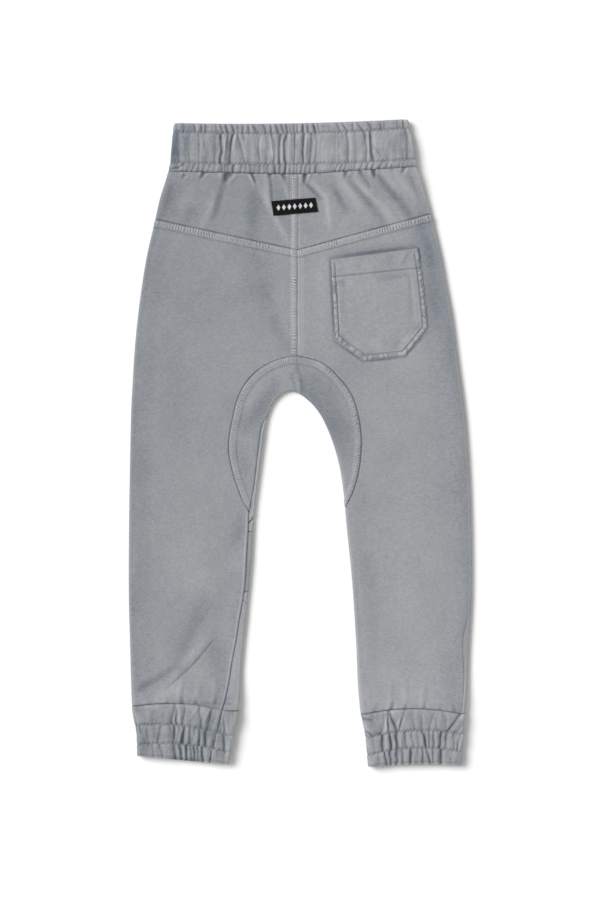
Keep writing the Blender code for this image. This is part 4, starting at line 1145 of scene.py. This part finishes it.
DIAMONDS = np.linspace(-21.5, 11, 7)  # where the woven diamonds lie across
DIAMOND_WIDTH, DIAMOND_HEIGHT = 3.8, 6.0
YARN_LIFT, YARN = 0.05, 0.2  # how high the diamonds float, and how thick they are
points, faces = [], []
for number, across in enumerate(DIAMONDS):
    middle = np.array([across, 86.8 - 0.077 * (across + 5.5)])  # along the label's slant
    half_wide, half_high = np.array([DIAMOND_WIDTH / 2, 0]), np.array([0, DIAMOND_HEIGHT / 2])
    corners = np.array([middle - half_high, middle + half_wide, middle + half_high, middle - half_wide])
    base = cloth_top(corners)
    foot = LAID_GAP + LABEL_WALL + label_lift(corners) + YARN_LIFT
    points += [*solid_places(base, foot), *solid_places(base, foot + YARN)]
    first = 8 * number
    faces += [(first, first + 3, first + 2, first + 1), tuple(range(first + 4, first + 8))]
    faces += [(first + k, first + (k + 1) % 4, first + 4 + (k + 1) % 4, first + 4 + k) for k in range(4)]
white_yarn, _ = plain_material("white_yarn", (0.5, 0.5, 0.51), 0.9, 0.5)
diamonds = mesh_piece("label_diamonds", points, faces, white_yarn)

# --- Waistband ------------------------------------------------------------------------------------------
# The waistband is a doubled tube of the same terry, folded at the waist edge over a wide flat elastic.
# Two stitch rows hold the elastic, which gathers the cloth into a channel between two small ruffles.

BAND_WALL = 4.6  # two layers of terry with the elastic between them
FOLD_DEPTH = 2.3  # how far the fold at a band's open edge lies below its faces
TOP_RUFFLE = table(
    "from to depth",
    (-122, -122, 0.52), (-116, -116, 0.52), (-106.4, -104.2, 0.65), (-98.5, -98, 0.52), (-94.5, -94, 0.52),
    (-84.6, -82, 0.65), (-79.6, -76.5, 0.78), (-74, -71.6, 1), (-67.6, -65.2, 1), (-62, -61.5, 0.52),
    (-57.6, -56.3, 0.65), (-51.8, -50, 0.65), (-47.3, -42, 0.65), (-37, -33.5, 0.65), (-30, -27.7, 0.65),
    (-23.2, -21, 1), (-19.2, -16.1, 0.65), (-13.8, -12.5, 1), (-9.4, -9, 0.52), (-5.6, -5.4, 0.52),
    (-2.5, -2.3, 0.52), (3.2, 3.6, 1), (7.8, 9.5, 0.65), (13.6, 16.2, 1), (17.6, 19.4, 0.52),
    (36.3, 40.4, 0.65), (40.8, 48.4, 0.65), (53.3, 53.7, 0.52), (57.2, 62.9, 0.65), (67.2, 73, 0.78),
    (70.6, 74.8, 0.39), (80.6, 82, 0.52), (84.4, 85, 0.39), (96.9, 97.8, 0.52), (98.8, 100.5, 0.39),
    (103.1, 104, 0.52),
)
LOWER_RUFFLE = table(
    "from to depth",
    (-122, -122, 0.3), (-116, -116, 0.3), (-108.7, -112.6, 0.5), (-106.4, -111.1, 0.4), (-104, -108.1, 0.5),
    (-100, -101.6, 0.4), (-95, -97.1, 0.5), (-89, -91.1, 0.4), (-84, -85, 0.4), (-80, -80.5, 0.4),
    (-77.4, -77.8, 0.6), (-74, -74.5, 0.6), (-71, -71.5, 0.6), (-66.5, -67, 1), (-58.5, -59, 0.5),
    (-54, -54.5, 0.4), (-49.3, -48, 0.5), (-44.6, -45, 0.4), (-39.3, -40, 0.5), (-35.3, -35.5, 0.4),
    (-31.7, -32, 0.4), (-24.6, -25, 0.7), (-20, -20.5, 0.5), (-14.7, -15.5, 1), (-9.2, -9.5, 0.4),
    (-5.4, -5.6, 0.4), (-2.5, -2.5, 0.4), (2, 2, 0.6), (6, 5, 0.6), (10, 9.5, 0.5), (16.3, 14.5, 0.6),
    (38, 35.2, 0.5), (42, 39.3, 0.5), (46, 43.7, 0.5), (49.3, 47.4, 0.4), (52, 49.9, 0.4),
    (54.8, 52.1, 0.5), (62, 58.9, 0.5), (67.7, 65.6, 0.6), (74.9, 70.9, 0.6), (83, 79.5, 0.5),
    (87.8, 85.9, 0.4), (92.6, 90.9, 0.4), (100.2, 98.4, 0.4), (103.6, 101.5, 0.4),
)
CHANNEL = table(
    "upper middle lower depth width",
    (-123, -121.5, -119.8, 0.6, 1.4), (-109.5, -111, -110, 0.4, 1.2), (-100, -100.5, -100.5, 0.4, 0.9),
    (-95.5, -94, -93, 0.3, 1.2), (-84, -84.6, -85.6, 0.4, 1), (-79.5, -78.7, -79, 1, 1.1),
    (-71, -72, -71, 0.5, 2), (-66.7, -69.5, -69, 1, 1.2), (-62.2, -57.8, -53.3, 0.55, 1),
    (-56, -52, -50.5, 0.5, 1.2), (-40, -40.5, -41, 0.5, 0.9), (-33.3, -33, -34, 0.35, 1),
    (-28, -25, -26.5, 0.5, 1.2), (-19, -20.5, -20.5, 0.9, 1.2), (-14, -15, -14, 0.95, 1.1),
    (-5.3, -5.3, -5.3, 0.6, 0.7), (4.7, 3.5, 3.5, 0.95, 1.1), (12.5, 11.5, 9.8, 0.75, 2),
    (17, 16.5, 15.5, 0.35, 1), (38, 38.5, 39, 0.4, 1), (47.3, 48.5, 48.3, 0.65, 0.9),
    (55, 56, 55.5, 0.3, 1.2), (63.5, 66.6, 66, 0.7, 1), (70.4, 71.6, 72.3, 0.9, 1.6),
    (89, 90, 89, 0.25, 1.2), (104.8, 107.3, 106.6, 0.6, 1.1),
)


def line_down(lines, share, level):
    """How far down a band's line lies, at a share of its width, for a level between the lines."""
    left, centre, right = (np.interp(level, range(4), lines[k]) for k in ("left", "centre", "right"))
    return left + (right - left) * share + (centre - (left + right) / 2) * 4 * share * (1 - share)


def gather_row(across, valleys, depths, widths):
    """The face of gathered cloth along one row: rounded ridges between sharp valleys, and its shade."""
    order = np.argsort(valleys)
    valleys, depths, widths = valleys[order], depths[order], widths[order]
    left = np.clip(np.searchsorted(valleys, across) - 1, 0, len(valleys) - 2)
    width = np.maximum(valleys[left + 1] - valleys[left], 0.5)
    share = np.clip((across - valleys[left]) / width, 0, 1)
    sharp = np.minimum(1, 1.25 * (depths[left] * (1 - share) + depths[left + 1] * share))
    ridge = 1 - sharp * (1 - np.sin(math.pi * share) ** 0.7 * (0.35 + 0.65 * np.minimum(width / 7, 1)))
    far = np.abs(across[:, None] - valleys[None])
    cut = (depths**1.2 * np.exp(-far / (1.25 * widths))).max(axis=1)
    dark = (depths**1.15 * hill(far, 0.88 * widths)).max(axis=1)
    shoulder = (depths * hill(far - 2.6 * widths, 1.1 * widths)).max(axis=1)
    return ridge, cut, dark - 0.3 * shoulder


def gather_relief(cloth, levels, zones, amplitude):
    """Gathers over a band's face. Each zone is a table of the valleys from one whole level to the next."""
    plan = cloth["plan"]
    streak = np.stack([plan[..., 0], plan[..., 1] * 0.22], axis=-1)
    wander = plan[..., 0] + 1.0 * noise(plan, 8, 71)
    rise, rub_and_shade = 0 * wander, 0 * wander
    for number, level in enumerate(levels):
        top = max(0, math.ceil(level) - 1)
        valleys = zones[top]
        lines = np.array(list(valleys.values())[:list(valleys).index("depth")])
        knots = np.linspace(top, top + 1, len(lines))
        places = np.array([smooth(knots, line, level) for line in lines.T])
        depths = valleys["depth"]
        depths = depths + (valleys.get("foot_depth", depths) - depths) * (level - top)
        if len(lines) == 3:
            depths = depths * (1 - 0.4 * (1 - depths) * math.sin(math.pi * (level - top)))
        widths = valleys.get("width", np.ones(len(depths)))
        ridge, cut, dark = gather_row(wander[number], places, depths, widths)
        patchy = 0.8 + 0.45 * noise(plan[number], 9, 73)
        rise[number] = amplitude * (0.85 * ridge - 0.85 * cut * patchy)
        # ridges are painted light and valleys painted shade, on top of the paler and darker colour the wash
        # left on them
        rub_and_shade[number] = 0.18 * (ridge - 0.72) - 0.29 * dark * patchy
    fine = noise(streak, 1.9, 75)
    rise += 0.16 * fine + 0.3 * noise(streak, 4, 77)
    return rise, rub_and_shade + 0.055 * fine


def flat_row(across, down, side):
    """Points along flat cloth, on the back side or the underside."""
    count = len(across)
    return np.column_stack([across, down, np.full(count, side * FLAT), np.zeros((count, 2)), np.ones(count)])


def band_rows(lines, levels, stations, seam, counts, bend=None):
    """Rows once round a flat-lying tube, one for each level, from its own seam over the right edge.

    counts is the number of points on its face, round an edge, and under it.
    """
    rows = []
    face, edge, under = counts
    turn = np.linspace(math.pi / 2, -math.pi / 2, edge)
    for level in levels:
        left, right = stations(level)
        low, high = turn_point(left), turn_point(right)
        start = seam(level)
        if start is None:
            course = (
                (-1, np.linspace(low + 1.0, low + 0.2, 3)), (left, -turn),
                (1, np.linspace(low, high, face)[1:-1]), (right, turn),
                (-1, np.linspace(high, low + 1.0 + 2 * HALF_GAP, under)[1:]),
            )
        else:
            split = round(face * 0.5)
            course = (
                (1, np.linspace(start + HALF_GAP, high, split)[:-1]), (right, turn),
                (-1, np.linspace(high, low, under)[1:-1]), (left, -turn),
                (1, np.linspace(low, start - HALF_GAP, face - split)[1:]),
            )
        parts = []
        for place, way in course:
            if isinstance(place, Station):
                parts.append(edge_row(place, place.radius * way))
                continue
            down = line_down(lines, (way - low) / (high - low), level)
            parts.append(flat_row(way, bend(way, level, down) if bend else down, place))
        rows.append(np.concatenate(parts))
    return rows


STITCH_ROWS = (1.0, 2.0)  # the levels of a band's two stitch rows
BAND_STITCH = 2.9


def band_piece(name, node, rows, levels, from_fold, seam_rim, zones, amplitude, folded):
    """A gathered, doubled tube with its stitch rows. folded is a table of single folds across it."""
    cloth = settle(rows)
    plan, free, upward = cloth["plan"], cloth["free"], cloth["out"][..., 2]
    across, down = plan[..., 0], plan[..., 1]
    from_seam, _ = rim_ways(cloth)[seam_rim]
    rise, rub_and_shade = gather_relief(cloth, levels, zones, amplitude)
    ditch, shade = 0 * rise, 0 * rise
    zigzag = np.abs((across / 3.9 + 0.35 * noise(plan, 6, 81)) % 1 - 0.5) * 4 - 1
    for row_level in STITCH_ROWS:
        row_down = np.array([np.interp(row_level, levels, column) for column in down.T])
        aside = down - row_down - 0.45 * zigzag - 0.5 * noise(plan, 4, 79)
        pull = hill(aside, 1.5)
        ditch += 0.65 * pull
        shade += 0.24 * hill(aside, 0.75) * (0.75 + 0.4 * zigzag)
        rise = rise * (1 - 0.5 * pull)
    mark_rise, mark_painted_shading = hollows(plan, folded)
    rise = rise + mark_rise + 0.25 * noise(plan, 17, 51) + 0.16 * noise(plan, 5, 53) - ditch
    rise -= 1.1 * near(from_seam, 2.4)
    on_right_cuff = (across > 0) & (down > 580)
    rub_and_shade = rub_and_shade + mark_painted_shading - shade + 0.07 * noise(plan, 8, 57) + tone(plan, 40) - 0.03 - 0.03 * on_right_cuff
    # painted light on the edge that turns away from the light, and painted shade beside the seam
    rub_and_shade += 0.50 * np.clip(2.0 * cloth["out"][..., 0], 0, 1) - 0.26 * near(from_seam, 1.5)
    # painted light on a cuff's hem fold, which faces away from the light
    rub_and_shade += 0.36 * near(from_fold, 0.22)[:, None] * (down > WAIST_LINES["centre"][-1])
    fold = FOLD_DEPTH * near(from_fold, 0.27)[:, None] * np.abs(upward)
    outer, inner = solid_places(cloth, rise * free - fold), solid_places(cloth, 0 * rise - BAND_WALL)
    top_side = (free > 0.55) | (upward > 0.5)
    piece = wall_piece(name, outer, inner, np.where(top_side, rub_and_shade, 0), TERRY, step=(6, 8))
    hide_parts(node)
    middle = len(levels) // 2
    chosen = sorted(np.flatnonzero(free[middle] > 0.8), key=lambda column: across[middle, column])
    lines = [
        np.array([[np.interp(row_level, levels, outer[:, column, k]) for k in range(3)] for column in chosen])
        for row_level in STITCH_ROWS
    ]
    sewing = stitches(name + "_stitches", lines, BAND_STITCH)


def waist_stations(level):
    gap = HALF_GAP if level == 3 else 0
    return (
        side_station("left", line_down(WAIST_LINES, 0, level) - gap),
        side_station("right", line_down(WAIST_LINES, 1, level) - gap),
    )


def waist_bend(across, level, down):
    """Below its second stitch row the band follows the V of the seam that it is sewn on by."""
    if level < 2:
        return down
    left, right = waist_stations(level)
    low, high = turn_point(left), turn_point(right)
    row = line_down(WAIST_LINES, (across - low) / (high - low), 2)
    return row + (waist_seam(across) - HALF_GAP - row) * (level - 2)


def zone_levels(lines, step):
    """Levels from a band's open edge to its seam, a step apart on its centre line."""
    levels = []
    for number, depth in enumerate(np.abs(np.diff(lines["centre"]))):
        levels += [*(number + np.linspace(0, 1, max(3, round(depth / step)), endpoint=False))]
    return np.array([*levels, 3.0])


WAIST_FOLDS = mark_table(
    (-134, 50.8, -119, 48, 1.6, 1.2), (-121, 48.6, -114, 44, 1.3, 1.1), (-120, 46, -114, 52, -0.9, 2.4),
    (-126, 8, -127.5, 50, 1.6, 4.5), (-114, 2, -118, 52, 0.4, 12), (-96, 12, -97, 40, -0.3, 3),
    (-73.3, 14, -76.5, 42, -0.9, 1.1), (-63.3, 13, -67, 32, -0.9, 1.3), (-58, 20, -52, 44, -0.6, 1.6),
    (-54.5, 13, -51, 43, -0.8, 1.3), (-39, 13, -38.5, 42, -0.6, 1.3), (-30, 13, -26.5, 42, -0.9, 1),
    (-17.2, 13, -18, 44, -0.8, 1.1), (-10, 14, -11, 42, -0.4, 2), (6.6, 12, 5, 44, -0.8, 1.2),
    (16, 14, 13, 44, -0.6, 1.3), (27, 8, 27, 46, -0.25, 8), (37, 11, 38, 42, -0.6, 0.9),
    (50, 11, 53, 38, -0.7, 1.6), (69, 12, 69, 40, -0.9, 1.1), (73.5, 11, 75, 38, -0.4, 1.6),
    (72, 25, 82, 38, 0.8, 0.9), (98, 8, 104, 46, 0.35, 8), (33, 44, 41, 53, -0.5, 5),
    (-12, 12, -12, 44, 0.4, 2),
)


def waist_join(level):
    """Where the waistband's own seam lies across, at the centre back."""
    return float(np.interp(level, (0, 1, 1.5, 2, 3), (-5.5, -5, -5, -5.2, -5)))


levels = zone_levels(WAIST_LINES, 0.72)
rows = band_rows(WAIST_LINES, levels, waist_stations, waist_join, (430, 22, 60), waist_bend)
band_piece(
    "gathered_waistband", "waistband", rows, levels, from_fold=levels, seam_rim="last",
    zones=(TOP_RUFFLE, CHANNEL, LOWER_RUFFLE), amplitude=1.4, folded=WAIST_FOLDS,
)

# --- Cuffs ----------------------------------------------------------------------------------------------
# Each cuff is a short doubled tube folded at the hem, gathered by the elastic between its two stitch rows.

LEFT_CUFF_LINES = table(
    "left centre right", (585.6, 583.4, 590.4), (605, 605, 615), (624.2, 623.4, 631), (636, 639.8, 643.6)
)
RIGHT_CUFF_LINES = table(
    "left centre right", (593.5, 588.3, 593.4), (617, 609.8, 613.3), (634, 627.3, 630.5), (646.5, 643.8, 645)
)


def gather_table(*rows):
    """Valleys of a cuff, each with where it begins and ends across, how deep it is there, and its width."""
    return table("top foot depth foot_depth width", *rows)


FAN, CUFF_CHANNEL, HEM = {}, {}, {}  # the gathers above, between and below the stitch rows of each cuff
FAN["left"] = gather_table(
    (-163.5, -163, 0.1, 0.4, 1), (-142, -146, 0, 0.15, 1.6), (-139, -143.5, 0, 0.25, 1),
    (-124.9, -127.2, 0.35, 0.8, 0.9), (-124.3, -122.2, 0.35, 0.8, 0.9), (-112.6, -116.7, 0.1, 1, 1.3),
    (-106, -109, 0, 0.4, 1), (-100, -98.3, 0.35, 0.65, 0.9), (-88, -92.2, 0.6, 0.9, 1.6),
    (-82, -91, 0, 0.6, 1), (-77.2, -82.2, 0.55, 0.55, 0.7), (-80.5, -78.9, 0.1, 0.4, 0.8),
    (-77, -73.9, 0, 0.5, 0.9), (-66, -69, 0, 0.3, 1),
)
CUFF_CHANNEL["left"] = gather_table(
    (-163.5, -163.3, 0.7, 0.6, 1), (-159.4, -153.3, 0.35, 0.3, 1), (-153, -151, 0.2, 0.25, 1),
    (-144.4, -143.3, 0.15, 0.2, 1), (-138.5, -141.7, 0.35, 0.5, 0.9), (-129.5, -126.5, 0.4, 0.4, 0.9),
    (-125.6, -125.9, 1, 1, 1.2), (-120, -122.8, 0.45, 0.4, 0.8), (-115, -117, 0.9, 1, 1.5),
    (-109.4, -109.4, 0.6, 0.7, 1.4), (-105, -108.3, 0.4, 0.4, 0.8), (-100, -100, 0.6, 0.75, 1.1),
    (-93.3, -94, 0.8, 0.9, 1.3), (-84, -86.1, 0.55, 0.55, 0.7), (-75, -75, 0.5, 0.6, 1.2),
    (-69.4, -69, 0.2, 0.3, 1),
)
HEM["left"] = gather_table(
    (-163.3, -163, 0.5, 0.4, 1), (-147.2, -146.1, 0.25, 0.3, 1), (-139.4, -137.2, 0.5, 0.5, 1.1),
    (-125, -124.2, 1, 1, 1.5), (-119.4, -118.9, 0.8, 0.8, 1.7), (-112.8, -113.3, 0.9, 0.9, 1.2),
    (-108.9, -107.6, 0.6, 0.5, 1.6), (-105.6, -104.4, 0.8, 0.7, 0.9), (-101.7, -101.1, 0.6, 0.6, 1),
    (-97.2, -97.2, 1, 1, 1.2), (-88.3, -90.2, 0.55, 0.55, 0.7), (-83, -82, 0.2, 0.2, 1.2),
    (-75, -77, 0.2, 0.2, 1),
)
FAN["right"] = gather_table(
    (62.7, 64, 0.3, 0.3, 1), (87, 80, 0, 0.45, 1.1), (87.9, 88.5, 0.5, 0.6, 0.9),
    (88.6, 96.6, 0.6, 0.9, 1.6), (106, 98.2, 0.35, 0.45, 1.3), (112, 114.3, 0.05, 0.4, 0.9),
    (121, 122.7, 0, 0.5, 0.8), (135.5, 128.4, 0.25, 0.35, 1.2), (136.5, 137, 0, 0.35, 1),
    (143.8, 145.6, 0.3, 0.3, 1.2), (160.4, 146.5, 0.6, 0.9, 1.4), (168, 155, 0.1, 0.4, 1.2),
    (166, 161, 0, 0.3, 1),
)
CUFF_CHANNEL["right"] = gather_table(
    (64.5, 67, 0.4, 0.4, 1), (73.4, 74.5, 0.25, 0.2, 1), (82.3, 83.3, 0.9, 1, 1.1), (89.3, 91.6, 1, 1, 1.4),
    (96.6, 97.7, 1, 1, 1.4), (105.4, 106, 0.6, 0.6, 1), (111.6, 113.8, 0.4, 0.3, 1.2),
    (117, 118, 0.2, 0.2, 1), (122, 127, 0.9, 0.9, 1.3), (128.2, 129.9, 0.4, 0.6, 0.9),
    (133.8, 132.7, 0.5, 0.6, 1), (141.6, 138.8, 0.8, 0.9, 1.1), (147.1, 144.3, 0.7, 0.5, 1.4),
    (154.3, 153.8, 0.4, 0.3, 1), (159.9, 157, 0.4, 0.4, 1), (163.5, 161, 0.3, 0.3, 1),
)
HEM["right"] = gather_table(
    (67, 68.5, 0.3, 0.3, 1), (78, 79, 0.15, 0.1, 1), (84.7, 86.6, 0.9, 0.9, 1.1), (90.4, 90.4, 1, 1, 1.6),
    (97.7, 96, 1, 1, 1.3), (101.6, 103.8, 0.5, 0.5, 1.6), (109.9, 111, 0.8, 0.8, 0.9),
    (117.5, 118, 0.3, 0.3, 1.2), (122.7, 123.2, 0.6, 0.6, 1.6), (127.1, 131, 0.9, 0.9, 1.2),
    (132.7, 133.8, 0.6, 0.5, 1), (141, 141, 1, 1, 1.5), (150, 151, 0.15, 0.15, 1.4),
    (160, 159.5, 0.3, 0.3, 1),
)
CUFF_FOLDS = mark_table(
    (57, 597, 74, 600.2, 1.3, 1.6), (57, 594.5, 74, 597.6, -0.6, 1.6), (63, 608.5, 75, 616.5, 1.5, 1),
    (64, 606.5, 76, 613, -0.6, 1.6), (73, 610.5, 82, 614.5, 0.9, 1.3), (-170, 589, -138, 591.5, 0.6, 3),
    (-120.5, 583, -119.5, 603, -0.9, 1.2), (-101, 586, -111, 600, -0.8, 1.2),
    (-88.5, 586, -96.5, 604, -0.8, 1.4), (86.4, 596, 86.2, 612, -0.9, 1.1),
    (104, 590, 94.5, 612, -0.8, 1.4), (-134, 637.6, -92, 641.4, 2.0, 1.3), (158, 601, 168, 597, -0.5, 3),
    (-160, 596, -160, 642, 0.6, 8), (-98, 600, -86, 628, 0.5, 9), (-64, 592, -72, 646, -0.7, 4.5),
    (-100, 584.2, -56, 591.4, 1.7, 1.8), (-78, 600, -76, 640, 0.4, 5),
)


def cuff_stations(leg, lines):
    def stations(level):
        left, right = line_down(lines, 0, level), line_down(lines, 1, level)
        if leg == "left":
            return side_station("left", left), leg_station("left", right)
        return leg_station("right", left), side_station("right", right)

    return stations


def left_cuff_join(level):
    """Where the left cuff's own seam lies across. It runs on from the inseam."""
    return float(np.interp(level, (0, 1, 1.5, 2, 3), (-77, -83.2, -84.3, -87.4, -90.5)))


def right_cuff_join(level):
    """The right cuff's own seam is out of sight on the underside."""
    return None


for leg, lines, join in (
    ("left", LEFT_CUFF_LINES, left_cuff_join),
    ("right", RIGHT_CUFF_LINES, right_cuff_join),
):
    levels = zone_levels(lines, 0.62)
    rows = band_rows(lines, levels, cuff_stations(leg, lines), join, (190, 22, 30))
    band_piece(
        "gathered_cuff_" + leg, "cuff_" + leg, rows, levels, from_fold=3 - levels, seam_rim="first",
        zones=(FAN[leg], CUFF_CHANNEL[leg], HEM[leg]), amplitude=1.8, folded=CUFF_FOLDS,
    )

# --- Floor, light and camera ----------------------------------------------------------------------------
# The joggers lie on a plain white sweep, lit by one large soft light from the upper left and a pale sky.

CLOTH_PLANE = 0.004
CAMERA_HEIGHT = 2.5

floor_mesh = bpy.data.meshes.new("floor")
floor_mesh.from_pydata([(-3, -3, 0), (3, -3, 0), (3, 3, 0), (-3, 3, 0)], [], [(0, 1, 2, 3)])
floor = bpy.data.objects.new("floor", floor_mesh)
bpy.context.collection.objects.link(floor)
paper, _ = plain_material("white_paper", (0.84, 0.84, 0.84), 0.95, 0.0)
floor_mesh.materials.append(paper)

lamp_data = bpy.data.lights.new("softbox", "SUN")
lamp_data.angle = math.radians(36)
lamp_data.energy = 3.65
lamp = bpy.data.objects.new("softbox", lamp_data)
lamp.location = (-1.3, 0.66, 1.25)
lamp.rotation_euler = (-lamp.location).to_track_quat("-Z", "Y").to_euler()
bpy.context.collection.objects.link(lamp)

world = bpy.data.worlds.new("studio")
world.use_nodes = True
world.node_tree.nodes["Background"].inputs["Color"].default_value = (1, 1, 1, 1)
world.node_tree.nodes["Background"].inputs["Strength"].default_value = 0.55
bpy.context.scene.world = world

camera_data = bpy.data.cameras.new("camera")
camera_data.sensor_fit = "VERTICAL"
camera_data.sensor_height = 36
camera_data.lens = 36 * CAMERA_HEIGHT / 0.9
camera = bpy.data.objects.new("camera", camera_data)
camera.location = (0, -0.00675, CLOTH_PLANE + CAMERA_HEIGHT)
bpy.context.collection.objects.link(camera)
bpy.context.scene.camera = camera
bpy.context.scene.view_settings.view_transform = "Standard"
